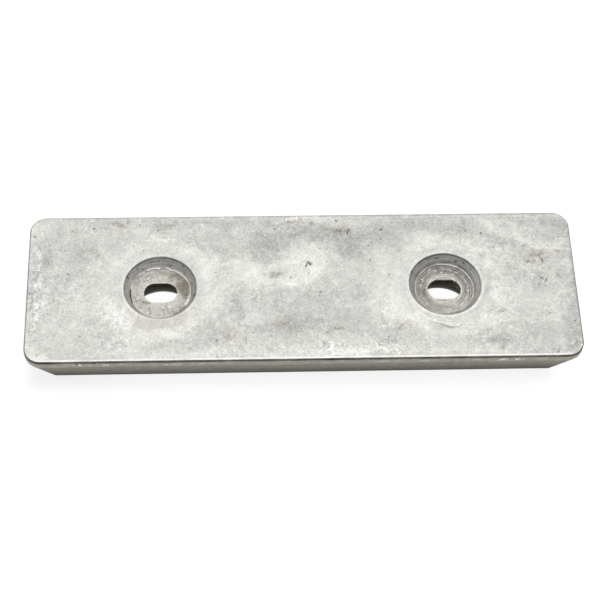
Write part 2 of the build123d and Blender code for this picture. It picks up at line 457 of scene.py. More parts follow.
# Pits and cracks: x, y, x, y, half-width, depth.
PITS = (
    (2.95, 9.9, 3.15, 9.75, 0.34, 0.9), (18.7, 25.8, 17.8, 23.3, 0.17, 0.30),
    (31.1, 25.4, 31.3, 25.4, 0.38, 0.35), (-80.5, 27.3, -80.3, 27.3, 0.36, 0.35),
    (-73.3, 29.4, -73.3, 29.4, 0.3, 0.2), (-76.0, 27.3, -75.8, 27.2, 0.28, 0.2),
    (-88.7, 26.3, -88.7, 26.3, 0.25, 0.2), (-103.2, 23.8, -103.0, 23.6, 0.3, 0.2),
    (-94.8, 21.9, -94.8, 21.9, 0.24, 0.2), (-62.8, 28.7, -62.6, 28.7, 0.26, 0.2),
    (-55.8, 26.0, -55.2, 26.0, 0.22, 0.2), (-53.9, 24.8, -53.5, 24.7, 0.2, 0.15),
    (-65.2, 18.8, -64.9, 18.7, 0.22, 0.15), (-61.3, 16.9, -61.0, 16.8, 0.24, 0.15),
    (-96, 12.3, -95.8, 12.3, 0.22, 0.15), (-98.5, 8.5, -98.4, 8.4, 0.25, 0.15),
    (-104, -2, -104, -2.2, 0.22, 0.15), (-100.2, -29, -100.0, -29, 0.3, 0.25),
    (-96.7, -27.2, -96.6, -27.2, 0.22, 0.15), (-82.8, -28.4, -82.7, -28.3, 0.24, 0.15),
    (-57.5, -29, -57.4, -29, 0.22, 0.15), (-43.8, -27.2, -43.7, -27.1, 0.28, 0.2),
    (13.6, 29.9, 13.8, 29.9, 0.3, 0.25), (-10.6, 26.5, -10.3, 26.1, 0.26, 0.2),
    (30.8, 20.8, 30.9, 20.7, 0.3, 0.2), (6.5, -2.8, 6.6, -2.8, 0.3, 0.25),
    (5.9, -4.5, 6.0, -4.6, 0.24, 0.2), (-4.7, 3.6, -4.6, 3.6, 0.26, 0.2),
    (8.6, -21, 8.7, -21, 0.3, 0.25), (-19.7, -20.5, -19.7, -20.5, 0.26, 0.2),
    (-33, -23.6, -32.9, -23.6, 0.32, 0.2), (-22.1, -22, -22.1, -25, 0.2, 0.03),
    (0.7, -29.1, 0.8, -29.1, 0.28, 0.25), (-26, -28.7, -26, -28.7, 0.24, 0.2),
    (31.5, -23, 31.6, -23, 0.26, 0.2), (70, 23, 70.2, 22.9, 0.32, 0.25),
    (76.8, 22.8, 76.9, 22.8, 0.3, 0.25), (64, 24.5, 64.3, 24.2, 0.3, 0.2),
    (43.8, 28.5, 43.9, 28.4, 0.26, 0.2), (39.6, 30, 39.7, 30, 0.24, 0.2),
    (85.9, 17.1, 86.0, 17.0, 0.26, 0.2), (91.7, 2.4, 91.8, 2.4, 0.36, 0.35),
    (94.2, 2.2, 92.9, 0.3, 0.22, 0.25), (97.4, 0.2, 97.5, 0.2, 0.3, 0.25),
    (-12.2, 5.4, -11.4, 5.5, 0.28, 0.12), (-9.2, 5.8, -8.6, 5.6, 0.24, 0.12),
    (-10.7, 3.9, -10.3, 3.8, 0.22, 0.12), (88.5, 12.8, 88.7, 12.8, 0.26, 0.15),
    (92.8, 10.3, 93.0, 10.2, 0.28, 0.15), (102.5, -17.5, 102.6, -17.2, 0.3, 0.15),
    (94.5, -31.3, 95.7, -29, 0.2, 0.15), (-90, 6.4, -89.4, 6.3, 0.3, 0.1),
    (-98.6, 16.3, -98.5, 16.2, 0.25, 0.1),
)

# Cracks too fine to be seen as pits, and scratches: x, y, x, y, half-width, lightness, depth.
# Where a dark and a light line run side by side, they are partly painted shade and painted
# highlight on the two sides of a scratch or bead.
SCRATCHES = (
    (2.15, 10.7, 1.25, 8.6, 0.24, -0.85, -0.12), (2.15, 10.7, 2.8, 10.3, 0.24, -0.85, -0.12),
    (-98, -4, -92.2, -18.6, 0.16, 0.16, -0.03), (-101.5, -27, -97.5, -23.5, 0.15, 0.10, -0.02),
    (70, -12.8, 74, -10.5, 0.17, -0.30, -0.05), (70.2, -13.3, 74.2, -11.0, 0.16, 0.18, 0.03),
    (72.5, -14.6, 77.5, -11.5, 0.18, -0.32, -0.05), (72.8, -15.1, 77.8, -12.0, 0.16, 0.18, 0.03),
    (73, -13, 76, -11.0, 0.15, -0.25, -0.04), (71.0, 12.0, 71.2, 15.3, 0.16, 0.16, 0.02),
    (72.0, 12.3, 72.1, 14.8, 0.14, 0.14, 0.02), (69.3, 12.0, 69.3, 13.6, 0.14, -0.2, -0.02),
    (68.5, 12.8, 70.1, 12.8, 0.14, -0.2, -0.02), (97.6, 0.1, 99.6, -1.1, 0.15, 0.14, 0.02),
    (-77.5, -22.8, -75, -22.7, 0.2, 0.18, 0.05), (-72.5, -23.0, -70, -22.7, 0.2, 0.18, 0.05),
    (-68.6, -22.6, -66.5, -22.5, 0.2, 0.18, 0.05), (-62, 21.5, -49, 22.0, 0.35, 0.14, 0.05),
    (1.0, 6.2, 1.0, 2.2, 0.32, 0.20, 0.05), (-12, 2.1, -6.5, 0.8, 0.35, 0.16, 0.06),
    (-6.5, 0.8, -3.2, 0.4, 0.45, 0.22, 0.08), (12.4, -24.4, 14.2, -24.6, 0.4, 0.25, 0.10),
    (-5, -10, 4, -6.8, 0.35, 0.07, 0.02), (4, -6.8, 13, -4.0, 0.30, 0.08, 0.02),
    (97, 25.2, 100, 25.8, 0.2, 0.12, 0.03), (99, 27.6, 103, 28.3, 0.2, 0.12, 0.03),
    (97.5, 20.2, 104, 20.6, 0.22, 0.08, 0.02), (98, 23.2, 104, 23.4, 0.2, 0.08, 0.02),
    (100, -20, 104, -20.3, 0.16, 0.14, 0.02), (100.5, -21.5, 104, -21.8, 0.16, 0.14, 0.02),
    (100.2, -23.0, 103.6, -23.2, 0.16, 0.12, 0.02), (39.9, -8.0, 41.9, -12.4, 0.24, -0.18, -0.02),
    (41.9, -12.4, 45.1, -15.8, 0.24, -0.20, -0.02), (45.1, -15.8, 50.5, -17.9, 0.24, -0.16, -0.02),
    (51.6, -18.2, 55.2, -19.7, 0.27, -0.36, -0.04), (55.2, -19.7, 58.3, -19.3, 0.30, -0.34, -0.04),
    (58.3, -19.3, 59.6, -18.2, 0.24, -0.32, -0.04), (40.9, -7.4, 42.9, -11.6, 0.32, 0.16, 0.03),
    (42.9, -11.6, 46, -14.6, 0.32, 0.18, 0.03), (46, -14.6, 50.5, -16.9, 0.32, 0.18, 0.03),
    (50.5, -17.0, 58.6, -18.2, 0.40, 0.18, 0.04), (95, 15.9, 104.6, 15.4, 0.30, 0.22, 0.03),
    (96, 18.1, 104.4, 17.9, 0.22, 0.16, 0.02), (-59.5, 21.3, -49.5, 21.6, 0.30, 0.18, 0.03),
    (-68.5, 18.2, -64, 20.3, 0.26, 0.14, 0.02), (-57.2, 30.9, -56.2, 30.8, 0.22, -0.30, -0.03),
    (-59, 29.8, -58.4, 29.7, 0.22, -0.30, -0.03), (-55, 28.8, -54.2, 28.6, 0.22, -0.32, -0.03),
    (-53.6, 26.6, -53, 26.5, 0.24, -0.30, -0.03), (-49.2, 29.9, -48.2, 29.8, 0.22, -0.28, -0.03),
    (-62, 30.6, -60.8, 30.5, 0.22, -0.28, -0.03), (-51.6, 30.8, -50.6, 30.8, 0.20, -0.30, -0.03),
    (-99.6, -5.4, -98.6, -7.2, 0.26, 0.20, 0.04), (-98.2, -8.2, -97.6, -10.4, 0.26, 0.20, 0.04),
    (-100.6, 10.2, -99.4, 7.8, 0.24, 0.18, 0.03), (-102.4, 3.2, -101.6, -0.6, 0.26, 0.18, 0.03),
    (-96.4, -14.2, -95.2, -16.8, 0.24, 0.18, 0.03), (-97.6, 12.8, -96.8, 10.6, 0.22, -0.22, -0.03),
)

# Beads and lips that stand proud: x, y, x, y, half-width, height.
BEADS = (
    (-102, 16.3, -102, 16.2, 0.8, 0.16), (-99, 16.3, -99, 16.2, 0.7, 0.14),
    (-101.5, -7, -101.5, -7.1, 0.8, 0.14), (-99, -7, -99, -7, 0.7, 0.14),
    (-98.5, -11, -98.4, -11.1, 0.8, 0.14), (-99.3, -17.6, -98.9, -19.2, 0.5, 0.14),
    (-98.9, -19.2, -97.9, -19.2, 0.5, 0.14), (-97.9, -19.2, -97.6, -17.8, 0.5, 0.12),
    (-92.2, -19, -91.9, -19.3, 0.8, 0.18), (41, -10, 43.2, -13.6, 0.55, 0.10),
    (43.2, -13.6, 46, -15.8, 0.6, 0.14), (46, -15.8, 52, -17.6, 0.6, 0.16),
    (52, -17.6, 57, -19.4, 0.65, 0.18), (57, -19.4, 59.2, -18.4, 0.6, 0.16),
    (-70.5, -13.5, -70.4, -13.4, 0.9, 0.12), (68.7, -2.4, 68.8, -2.4, 0.45, 0.12),
    (39.8, 10.7, 39.9, 10.7, 0.5, 0.12), (38, -26.5, 38.1, -26.5, 0.5, 0.12),
    (104, -26, 104, -28.6, 0.5, 0.14), (-72.5, -9, -71.8, -9.4, 0.8, 0.12),
    (-74.5, -12.4, -73.9, -12.9, 0.7, 0.12), (-68.4, -17.6, -67.6, -18, 0.8, 0.12),
    (31.2, -27.2, 31.9, -28.2, 0.5, 0.10), (33.4, -28, 34, -27, 0.5, 0.10),
)

# Corners of the torn flash round the left recess: bearing in degrees, radius.
TORN_EDGE = (
    (9, 11.25), (23, 11.35), (30, 11.15), (43, 10.85), (60, 10.8), (68, 10.2), (78, 11.0),
    (88, 10.7), (93, 10.3), (101, 10.8), (116, 10.9), (123, 11.0), (136, 10.9), (146, 11.3),
    (155, 11.2), (171, 11.0), (188, 11.0), (206, 11.2), (241, 11.3), (266, 11.3), (291, 11.1),
    (300, 10.9), (326, 10.9), (341, 11.3), (352, 11.0),
)

# Lines on the recess walls: x, y, x, y, half-width, weight. Above zero is a painted glint on
# the torn flash edge; below zero is a dark crevice, partly painted shadow under the rim.
WALL_LINES = (
    (-59.4, 10.1, -57.2, 10.75, 0.44, 1.0), (-57.2, 10.75, -55.3, 10.7, 0.55, 1.0),
    (-52.3, 11.0, -50.6, 9.8, 0.40, 1.0), (-49.1, 9.5, -46.4, 7.6, 0.70, 1.0),
    (-46.4, 7.6, -43.9, 4.5, 0.62, 1.0), (-43.8, 4.3, -43.2, 1.8, 0.36, 0.8),
    (-43.2, 1.8, -43.2, -0.8, 0.26, 0.6), (-43.3, -0.9, -44.1, -4.4, 0.36, 0.9),
    (-44.1, -4.4, -45.2, -6.2, 0.30, 0.8), (-62.8, 7.9, -60.8, 9.2, 0.26, 0.7),
    (-50.4, 9.9, -49.0, 9.9, 0.22, 0.8), (-47.2, -8.7, -48.2, -9.3, 0.18, 0.8),
    (-65.6, 4.6, -66.0, 2.2, 0.24, 0.55), (-44.9, -6.6, -46.2, -8.1, 0.24, -0.7),
    (-46.2, -8.1, -48.7, -9.8, 0.22, -0.7), (-48.7, -9.8, -50.4, -10.5, 0.18, -0.5),
    (-66.0, 1.2, -65.9, -1.8, 0.24, -0.9), (-65.9, -1.8, -65.0, -5.5, 0.24, -0.8),
    (-65.0, -5.5, -62.5, -8.8, 0.2, -0.5), (-61.6, 9.9, -61.4, 10.0, 0.26, -0.5),
    (-51.0, 11.3, -50.7, 11.3, 0.26, -0.55), (-46.2, 10.4, -45.6, 9.8, 0.26, -0.4),
    (-55.3, 12.9, -55.0, 12.9, 0.26, -0.4), (-63.6, 9.2, -63.2, 9.6, 0.26, -0.4),
    (-66.9, 5.2, -66.8, 4.9, 0.35, -0.6), (-58.6, 12.4, -56.4, 12.7, 0.2, -0.4),
    (-41.6, -3.6, -41.2, -2.8, 0.3, -0.9), (55.9, -10.9, 57.4, -11.1, 0.20, -0.6),
    (57.4, -11.1, 58.9, -10.7, 0.26, -0.75), (55.6, 11.2, 57.6, 10.9, 0.3, 0.8),
    (57.6, 10.9, 59.9, 9.9, 0.34, 1.0), (59.9, 9.7, 62.5, 7.8, 0.28, 0.7),
    (62.5, 7.8, 64.8, 4.0, 0.24, 0.5), (64.8, 4.0, 65.4, -0.7, 0.20, 0.4),
    (52.0, 11.3, 55.6, 11.2, 0.26, 0.6), (51.4, 12.6, 53.0, 12.7, 0.2, -0.5),
    (59.2, 11.6, 59.9, 11.3, 0.24, -0.6), (62.3, 10.3, 62.6, 10.0, 0.26, -0.6),
    (41.9, 5.8, 41.8, 5.4, 0.28, -0.6), (48.0, 11.6, 50.0, 12.4, 0.18, -0.4),
)

# Tool marks, specks and rust spots on the strap: x, y, x, y, half-width, weight. A few light
# ones by the left recess's torn flash edge are painted glints of it, and the dark ones under
# the front of each rim are partly painted shadow.
TOOL_MARKS = (
    (-62.6, 7.2, -60.7, 4.9, 0.22, 0.9), (-61.2, 6.6, -60.1, 5.4, 0.2, 0.9),
    (-62.2, 6.9, -60.4, 4.8, 0.16, -0.7), (-59.6, 6.3, -58.8, 6.8, 0.36, 1.0),
    (-59.9, 6.0, -59.6, 5.6, 0.2, -0.7), (-62.9, 3.7, -62.0, 4.7, 0.2, 0.8),
    (-63.4, 3.0, -62.9, 3.6, 0.16, -0.6), (-55.3, 6.9, -54.2, 7.4, 0.26, 0.6),
    (-54.2, 7.4, -53.2, 7.0, 0.2, 0.4), (-53.9, -6.7, -53.6, -6.7, 0.34, 0.9),
    (-51.2, -6.2, -50.7, -6.8, 0.28, 0.9), (-43.9, -1.6, -44.1, -3.6, 0.34, 1.0),
    (-44.1, -3.6, -45.3, -5.3, 0.3, 1.0), (-61.3, -4.0, -60.9, -3.9, 0.24, -0.9),
    (-60.3, -4.3, -59.9, -4.4, 0.28, -0.9), (-59.2, -4.5, -58.8, -4.5, 0.24, -0.9),
    (-62.0, -6.4, -61.9, -6.5, 0.26, -0.9), (-58.2, -9.1, -58.1, -9.2, 0.28, -0.9),
    (-64.6, -2.0, -64.3, -2.3, 0.3, -0.8), (-63.7, -3.6, -63.5, -3.2, 0.24, -0.8),
    (-50.9, -9.2, -50.5, -9.3, 0.24, -0.9), (-49.6, -8.9, -49.5, -8.3, 0.22, -0.8),
    (-46.8, -6.8, -46.5, -7.0, 0.24, -0.8), (-45.9, -2.4, -45.7, -2.5, 0.26, -0.9),
    (-45.0, -6.4, -46.2, -7.9, 0.18, -0.7), (-46.2, -7.9, -48.6, -9.5, 0.18, -0.7),
    (55.9, -10.7, 57.4, -10.8, 0.16, -0.6), (57.4, -10.8, 58.8, -10.3, 0.20, -0.75),
    (-52.9, -9.6, -52.5, -9.6, 0.2, -0.7), (-56.0, -8.2, -55.8, -8.3, 0.2, -0.5),
    (-58.9, 8.5, -58.6, 8.5, 0.22, -0.6), (-64.2, -7.0, -63.9, -7.2, 0.24, -0.8),
    (49.2, 8.8, 49.7, 9.1, 0.26, 0.7), (53.9, 7.6, 54.1, 7.7, 0.28, 0.9),
    (58.2, 6.6, 58.4, 6.5, 0.32, 0.9), (45.9, 4.9, 46.7, 4.0, 0.24, 0.7),
    (47.0, 0.1, 47.0, -0.3, 0.3, -0.8), (46.5, -1.8, 46.7, -2.0, 0.24, -0.7),
    (48.0, 6.2, 48.5, 5.6, 0.2, -0.4),
)

# Nicks in the front land: x, height, x, height, half-width, weight; below zero is a dark gouge.
NICKS = (
    (-84.6, 23.3, -83.8, 22.7, 0.42, 1.0), (-86.8, 23.2, -85.9, 23.1, 0.28, 0.6),
    (-85.2, 23.8, -84.8, 23.6, 0.40, -1.0), (-80.8, 22.6, -78.6, 22.8, 0.26, 0.4),
    (-75.4, 22.2, -74.8, 23.1, 0.30, 0.8), (-74.8, 23.1, -73.7, 22.9, 0.26, 0.7),
    (-73.7, 22.9, -73.5, 22.2, 0.26, 0.6), (-78.8, 24.2, -78.4, 24.2, 0.35, -0.9),
    (-69.8, 22.9, -69.4, 22.9, 0.30, 0.5), (-68.9, 22.9, -68.5, 22.9, 0.34, 0.6),
    (-52.7, 22.3, -51.6, 22.5, 0.34, 0.6), (-49.9, 22.3, -49.0, 22.8, 0.30, 0.6),
    (-48.4, 22.7, -46.4, 22.8, 0.30, 0.4), (-39.8, 22.4, -38.4, 23.0, 0.30, 0.55),
    (-38.4, 23.0, -37.4, 23.0, 0.28, 0.5), (-35.6, 22.8, -33.4, 22.8, 0.28, 0.35),
    (27.7, 22.6, 31.4, 22.7, 0.34, 0.45), (42.6, 22.4, 46.3, 22.5, 0.32, 0.4),
    (62.9, 22.9, 65.2, 23.1, 0.28, 0.4), (72.4, 22.3, 73.6, 23.3, 0.28, 0.9),
    (73.9, 22.4, 75.0, 23.4, 0.30, 1.0), (75.0, 23.4, 75.9, 22.4, 0.26, 0.7),
    (78.7, 23.2, 79.2, 22.4, 0.28, 0.9), (79.2, 22.4, 80.2, 23.2, 0.30, 1.0),
    (81.9, 22.8, 82.2, 22.8, 0.28, 0.6), (87.3, 23.2, 90.7, 23.0, 0.26, 0.4),
)

# Brown stains on the strap where the recesses bare it: columns as in CLOUDS.
STRAP_STAINS = (
    (-46.8, 2.5, 2.4, 4.5, 10, 1.0), (-50.5, 6.5, 3.0, 2.0, -20, 0.6),
    (-62.5, 4.5, 1.6, 2.2, 0, 0.35), (-49.5, -7.5, 3.0, 2.0, 0, 0.35),
    (-61, -4, 2.0, 3.5, 0, 0.3), (47.5, -4, 2.6, 5.0, 20, 0.55), (53, -8.5, 6.0, 1.8, 0, 0.5),
    (48, 3.5, 1.8, 3.0, -20, 0.35), (-53.5, 9.8, 3.8, 1.0, 0, 0.7),
    (-48.3, 7.4, 2.4, 1.5, -45, 0.8), (-45.0, 2.0, 1.5, 3.8, 0, 1.0),
    (-60.8, 8.0, 2.2, 0.9, 40, 0.5),
)

# A way that lies beyond every mark, with no weight.
FAR = (9.0, 9.0, 0.0)


def nearest_marks(x, y, marks):
    """For every point, the way to the nearest mark's run in half-widths of that mark, and the
    mark's weight, which fades out between 1.2 and 2 mm from it. The way is a straight-line
    function of place, so faces carry it exactly between their corners."""
    best = np.full_like(x, 2.4)
    field = np.tile(FAR, (len(x), 1))
    for ax, ay, bx, by, half, weight in marks:
        run = (bx - ax) ** 2 + (by - ay) ** 2
        t = np.clip(((x - ax) * (bx - ax) + (y - ay) * (by - ay)) / max(run, 1e-9), 0, 1)
        ox, oy = x - ax - t * (bx - ax), y - ay - t * (by - ay)
        gap = np.hypot(ox, oy)
        closer = gap < best
        best = np.where(closer, gap, best)
        found = np.stack([ox / half, oy / half, weight * smooth(2.0, 1.2, gap)], -1)
        field = np.where(closer[:, None], found, field)
    return field


def blots(x, y, spots, hardness=1.0):
    """Sum of soft ovals: each is its strength times exp(-d^h), d the squared distance in the
    oval's own turned and scaled axes."""
    total = np.zeros_like(x)
    for sx, sy, half_long, half_short, turn, strength in spots:
        c, s = math.cos(math.radians(turn)), math.sin(math.radians(turn))
        u = ((x - sx) * c + (y - sy) * s) / half_long
        v = ((y - sy) * c - (x - sx) * s) / half_short
        total += strength * np.exp(-(u * u + v * v) ** hardness)
    return total


# --------------------------------------------------------------------------------------
# The casting
# --------------------------------------------------------------------------------------

def wall_profile(s):
    """The sweep down the outside as rows of (inset, height, corner radius): the rounded arris,
    the upright land, the knuckle's arc, the leaning wall, and the arc at its foot."""
    lean = math.atan2(s.inset, s.thickness - s.land)
    land_foot = s.thickness - s.land
    rows = []

    def corner(inset):
        """Corner radius that far in: from the land's to the foot's, then less by the inset."""
        t = np.clip(inset / s.inset, 0, 1)
        beyond = np.clip(inset - s.inset, 0, None)
        return s.plan_corner + (s.foot_corner - s.plan_corner) * t - beyond

    for turn in np.linspace(0, math.pi / 2, 5):
        inset = s.arris * (1 - math.sin(turn))
        rows.append((inset, s.thickness - s.arris * (1 - math.cos(turn)), s.plan_corner - inset))
    tangent = s.knuckle * math.tan(lean / 2)
    for z in np.linspace(s.thickness - s.arris, land_foot + tangent, 7)[1:]:
        rows.append((0.0, z, s.plan_corner))
    for turn in np.linspace(0, lean, 5)[1:]:
        inset = s.knuckle * (1 - math.cos(turn))
        rows.append((inset, land_foot + tangent - s.knuckle * math.sin(turn), corner(inset)))
    foot_tangent = s.foot_round * math.tan((math.pi / 2 - lean) / 2)
    wall_start = land_foot - tangent * math.cos(lean)
    wall_end = foot_tangent * math.cos(lean)
    for z in np.linspace(wall_start, wall_end, 23)[1:]:
        inset = (land_foot - z) * math.tan(lean)
        rows.append((inset, z, corner(inset)))
    centre_inset = s.inset + foot_tangent
    for turn in np.linspace(0, math.pi / 2 - lean, 4)[1:]:
        a = lean + turn
        inset = centre_inset - s.foot_round * math.cos(a)
        rows.append((inset, s.foot_round * (1 - math.sin(a)), corner(inset)))
    return rows


def recess_profile(s, rays, ragged):
    """Rows of (radius, height) from the hull face down a recess, one value per ray: the rounded
    rim, the cone, its foot, then the thin skin of alloy over the strap out to a ragged edge, the
    edge's drop and the strap's top. ragged gives the edge's radius and the skin's thickness."""
    edge, skin = ragged
    depth = s.thickness - s.strap_top
    slope = (s.recess_mouth - s.recess_floor) / depth
    lean = math.atan(slope)
    tangent = s.mouth_round * math.tan((math.pi / 2 - lean) / 2)
    rows = []
    for turn in np.linspace(0, math.pi / 2 - lean, 5):
        r = s.recess_mouth + tangent - s.mouth_round * math.sin(turn)
        rows.append((r, s.thickness - s.mouth_round * (1 - math.cos(turn))))
    sag = 1.15                       # where the cone's foot turns out, above the strap
    for z in np.linspace(rows[-1][1], s.strap_top + sag, 10)[1:]:
        rows.append((s.recess_floor + (z - s.strap_top) * slope, z))
    lip = edge + 0.34                # where the fillet runs out, just short of the torn edge
    for t in (0.2, 0.4, 0.6, 0.8, 1.0):
        r = (s.recess_floor + sag * slope) * (1 - t) + lip * t
        rows.append((r, s.strap_top + skin + (sag - skin) * (1 - t) ** 1.8))
    for inward, part in ((0.28, 1.05), (0.12, 1.0), (0.02, 0.75), (0.0, 0.4), (0.04, 0.0)):
        rows.append((edge + inward, s.strap_top + skin * part))
    ones = np.ones_like(rays)
    return [(r * ones, z * ones) for r, z in rows]


def pocket_profile(s):
    """Rows of (radius, height) from the strap down a nut pocket: the cone, then its rounded rim."""
    slope = (s.pocket_mouth - s.pocket_floor) / s.strap_foot
    lean = math.atan(slope)
    tangent = s.mouth_round * math.tan((math.pi / 2 - lean) / 2)
    rows = []
    for z in np.linspace(s.strap_foot, tangent * math.cos(lean), 15):
        rows.append((s.pocket_mouth - z * slope, z))
    for turn in np.linspace(lean, math.pi / 2, 4)[1:]:
        rows.append((
            s.pocket_mouth + tangent - s.mouth_round + s.mouth_round * math.sin(turn),
            s.mouth_round * (1 - math.sin(turn)),
        ))
    return rows


def ragged_edge(s, rays, side):
    """Radius and thickness of the flash skin round one recess. On the left it tore off along
    short chords between the corners of TORN_EDGE; on the right it is a nearly even ring."""
    ring = np.stack([np.cos(rays) * 3, np.sin(rays) * 3, np.full_like(rays, side * 9.0)], -1)
    if side < 0:
        bearings, radii = np.array(TORN_EDGE).T
        edge = np.interp(np.degrees(rays) % 360, bearings, radii, period=360)
        thinnest, widest = math.radians(215), 11.35
        gap = smooth(0.3, 0.8, np.cos(rays - thinnest))
        edge = edge + 0.10 * layered(ring, 0.5, 53, 2, 0.8)
        return np.minimum(edge, widest), s.skin * (1.5 - 1.2 * gap)
    teeth = layered(ring, 1.5, 77, 3, 0.5)
    return 10.95 + 0.05 * teeth, s.skin * (1.0 + 0.2 * teeth)


def inside(values, low, high):
    """Which cells between grid lines lie from low to high."""
    middle = (values[1:] + values[:-1]) / 2
    return (middle > low) & (middle < high)


def beside_windows(xs, ys, holes, window):
    """Which cells of a grid lie outside the square windows round the recesses."""
    keep = np.ones((len(ys) - 1, len(xs) - 1), bool)
    for hole in holes:
        keep[np.ix_(inside(ys, -window, window), inside(xs, hole - window, hole + window))] = False
    return keep


def casting_skin(s):
    """The whole casting as one closed skin: hull face, walls, outer face, recesses, pockets and
    the strap's room inside."""
    quilt = Quilt()
    window = 18.0                    # half the side of the square round each recess
    seat_radius = 11.9               # where the strap's room takes over from the recess
    border = 7.0                     # from the hull face's grid to its edge
    pit_x, pit_y = 2.4, 9.6          # the shrink pit
    left, right = holes = (-s.hole_pitch / 2, s.hole_pitch / 2)

    # Hull face: grid lines meet the windows round the recesses, and crowd round the shrink pit.
    end_x, end_y = s.span / 2 - border, s.width / 2 - border
    xs = joined(
        crowd(-end_x, left - window, 42), crowd(left - window, left + window, 60),
        crowd(left + window, right - window, 122, pit_x, 1.3, 3.5),
        crowd(right - window, right + window, 60), crowd(right + window, end_x, 42),
    )
    across = crowd(-window, window, 60, pit_y, 0.9, 3.0)
    ys = joined(crowd(-end_y, -window, 12), across, crowd(window, end_y, 12))
    sheet = np.stack(np.meshgrid(xs, ys), -1)
    quilt.grid(at_height(sheet, s.thickness), beside_windows(xs, ys, holes, window))

    # Border and walls, from the hull face's inner rectangle out, over and down.
    columns = (xs, ys)
    inner = rim_of(xs, ys)
    profile = wall_profile(s)
    outer = rounded_outline(
        s.span / 2 - s.arris, s.width / 2 - s.arris, s.plan_corner - s.arris, columns
    )
    steps = 1 - (1 - np.linspace(0, 1, 13)) ** 1.45
    ring = ease_between(inner, outer, steps, s.thickness)
    for inset, z, corner in profile[1:]:
        loop = rounded_outline(s.span / 2 - inset, s.width / 2 - inset, corner, columns)
        ring.append(at_height(loop, z))
    quilt.band(np.stack(ring), flip=True)

    # Outer face: half as many columns, reached through one row of triangles.
    foot_inset = profile[-1][0]
    rim_x, rim_y = 3.0, 2.8          # from the outer face's grid to its edge
    face_x, face_y = s.span / 2 - foot_inset - rim_x, s.width / 2 - foot_inset - rim_y
    gx = joined(
        np.linspace(-face_x, left - window, 22), np.linspace(left - window, left + window, 31),
        np.linspace(left + window, right - window, 62),
        np.linspace(right - window, right + window, 31), np.linspace(right + window, face_x, 22),
    )
    gy = joined(
        np.linspace(-face_y, -window, 7), np.linspace(-window, window, 31),
        np.linspace(window, face_y, 7),
    )
    coarse = rim_of(gx, gy)
    fine = ring[-1][:, :2]
    even = fine[::2]
    halves = (0, 0.5, 1)
    near = even + (coarse - even) * 0.34
    quilt.halve(at_height(fine, 0.0), at_height(near, 0.0), flip=True)
    quilt.band(np.stack(ease_between(near, coarse, halves, 0.0)), flip=True)
    sheet = np.stack(np.meshgrid(gx, gy), -1)
    quilt.grid(at_height(sheet, 0.0), beside_windows(gx, gy, holes, window), flip=True)

    # Each recess: window, rim, cone, flash, then the strap's room and the nut pocket below.
    room = s.strap_width / 2
    for hole in holes:
        centre = (hole, 0.0)
        square = rim_of(np.linspace(hole - window, hole + window, 61), across)
        rays = rays_of(square, centre)
        rows = recess_profile(s, rays, ragged_edge(s, rays, math.copysign(1, hole)))
        rim = circle(centre, rays, rows[0][0])
        loops = ease_between(square, rim, np.linspace(0, 1, 9), s.thickness)
        loops += [at_height(circle(centre, rays, r), z) for r, z in rows[1:]]
        quilt.band(np.stack(loops))
        half = rays[::2]
        seat = circle(centre, half, seat_radius)
        quilt.halve(loops[-1], at_height(seat, s.strap_top))
        box = rim_of(np.linspace(hole - room, hole + room, 31), np.linspace(-room, room, 31))
        quilt.band(np.stack(ease_between(seat, box, halves, s.strap_top)))
        neck = circle(centre, half, s.pocket_floor)
        quilt.band(np.stack(ease_between(box, neck, halves, s.strap_foot)))
        loops = [at_height(circle(centre, half, r), z) for r, z in pocket_profile(s)]
        side = np.linspace(-window, window, 31)
        square = rim_of(np.linspace(hole - window, hole + window, 31), side)
        rim = loops[-1][:, :2]
        loops += ease_between(rim, square, np.linspace(0, 1, 6)[1:], 0.0)
        quilt.band(np.stack(loops))

    # The rest of the strap's room: its roof, its floor and its four sides.
    half_bar = s.strap_span / 2
    strips = (
        np.linspace(-half_bar, left - room, 3), np.linspace(left + room, right - room, 21),
        np.linspace(right + room, half_bar, 3),
    )
    lines_y = np.linspace(-room, room, 31)
    for strip in strips:
        sheet = np.stack(np.meshgrid(strip, lines_y), -1)
        quilt.grid(at_height(sheet, s.strap_top), flip=True)
        quilt.grid(at_height(sheet, s.strap_foot))
    lines_x = joined(
        strips[0], np.linspace(left - room, left + room, 31), strips[1],
        np.linspace(right - room, right + room, 31), strips[2],
    )
    around = rim_of(lines_x, lines_y)
    quilt.band(np.stack([at_height(around, z) for z in (s.strap_top, s.strap_foot)]))
    return quilt.sewn()


def casting_zones(s, p):
    """Which points belong to the hull face, the walls, the outer face, the recesses, the pockets
    and the strap's room, and how far each is from the nearer recess's axis."""
    x, y, z = p.T
    around = np.hypot(np.abs(x) - s.hole_pitch / 2, y)
    touch, bore_rim, pocket_rim = 0.001, 0.26, 0.6
    sheltered = (z > s.strap_foot - touch) & (z < s.strap_top + touch)
    sheltered &= (np.abs(x) < s.strap_span / 2 + 0.01) & (np.abs(y) < s.strap_width / 2 + 0.01)
    bore = (around < s.recess_mouth + bore_rim) & (z > s.strap_top + touch)
    pocket = (around < s.pocket_mouth + pocket_rim) & (z < s.strap_foot + touch) & ~sheltered
    hull = (z > s.thickness - touch) & ~bore
    outer = (z < touch) & ~pocket
    wall = ~(hull | bore | pocket | outer | sheltered)
    return {
        "hull": hull, "bore": bore, "pocket": pocket, "outer": outer, "wall": wall,
        "around": around, "sheltered": sheltered,
    }


def plate_mark(x, y):
    """A flat beige patch by the left recess, inside five straight sides: 1 where the least
    distance to a side is positive, eased over a third of a millimetre."""
    corners = ((-43.4, -11.0), (-63.4, -11.0), (-63.7, -17.4), (-61.3, -19.7), (-44.6, -16.9))
    least = np.full_like(x, 99.0)
    for (ax, ay), (bx, by) in zip(corners, corners[1:] + corners[:1]):
        side = (bx - ax) * (y - ay) - (by - ay) * (x - ax)
        least = np.minimum(least, side / math.hypot(bx - ax, by - ay))
    return smooth(-0.15, 0.3, least)


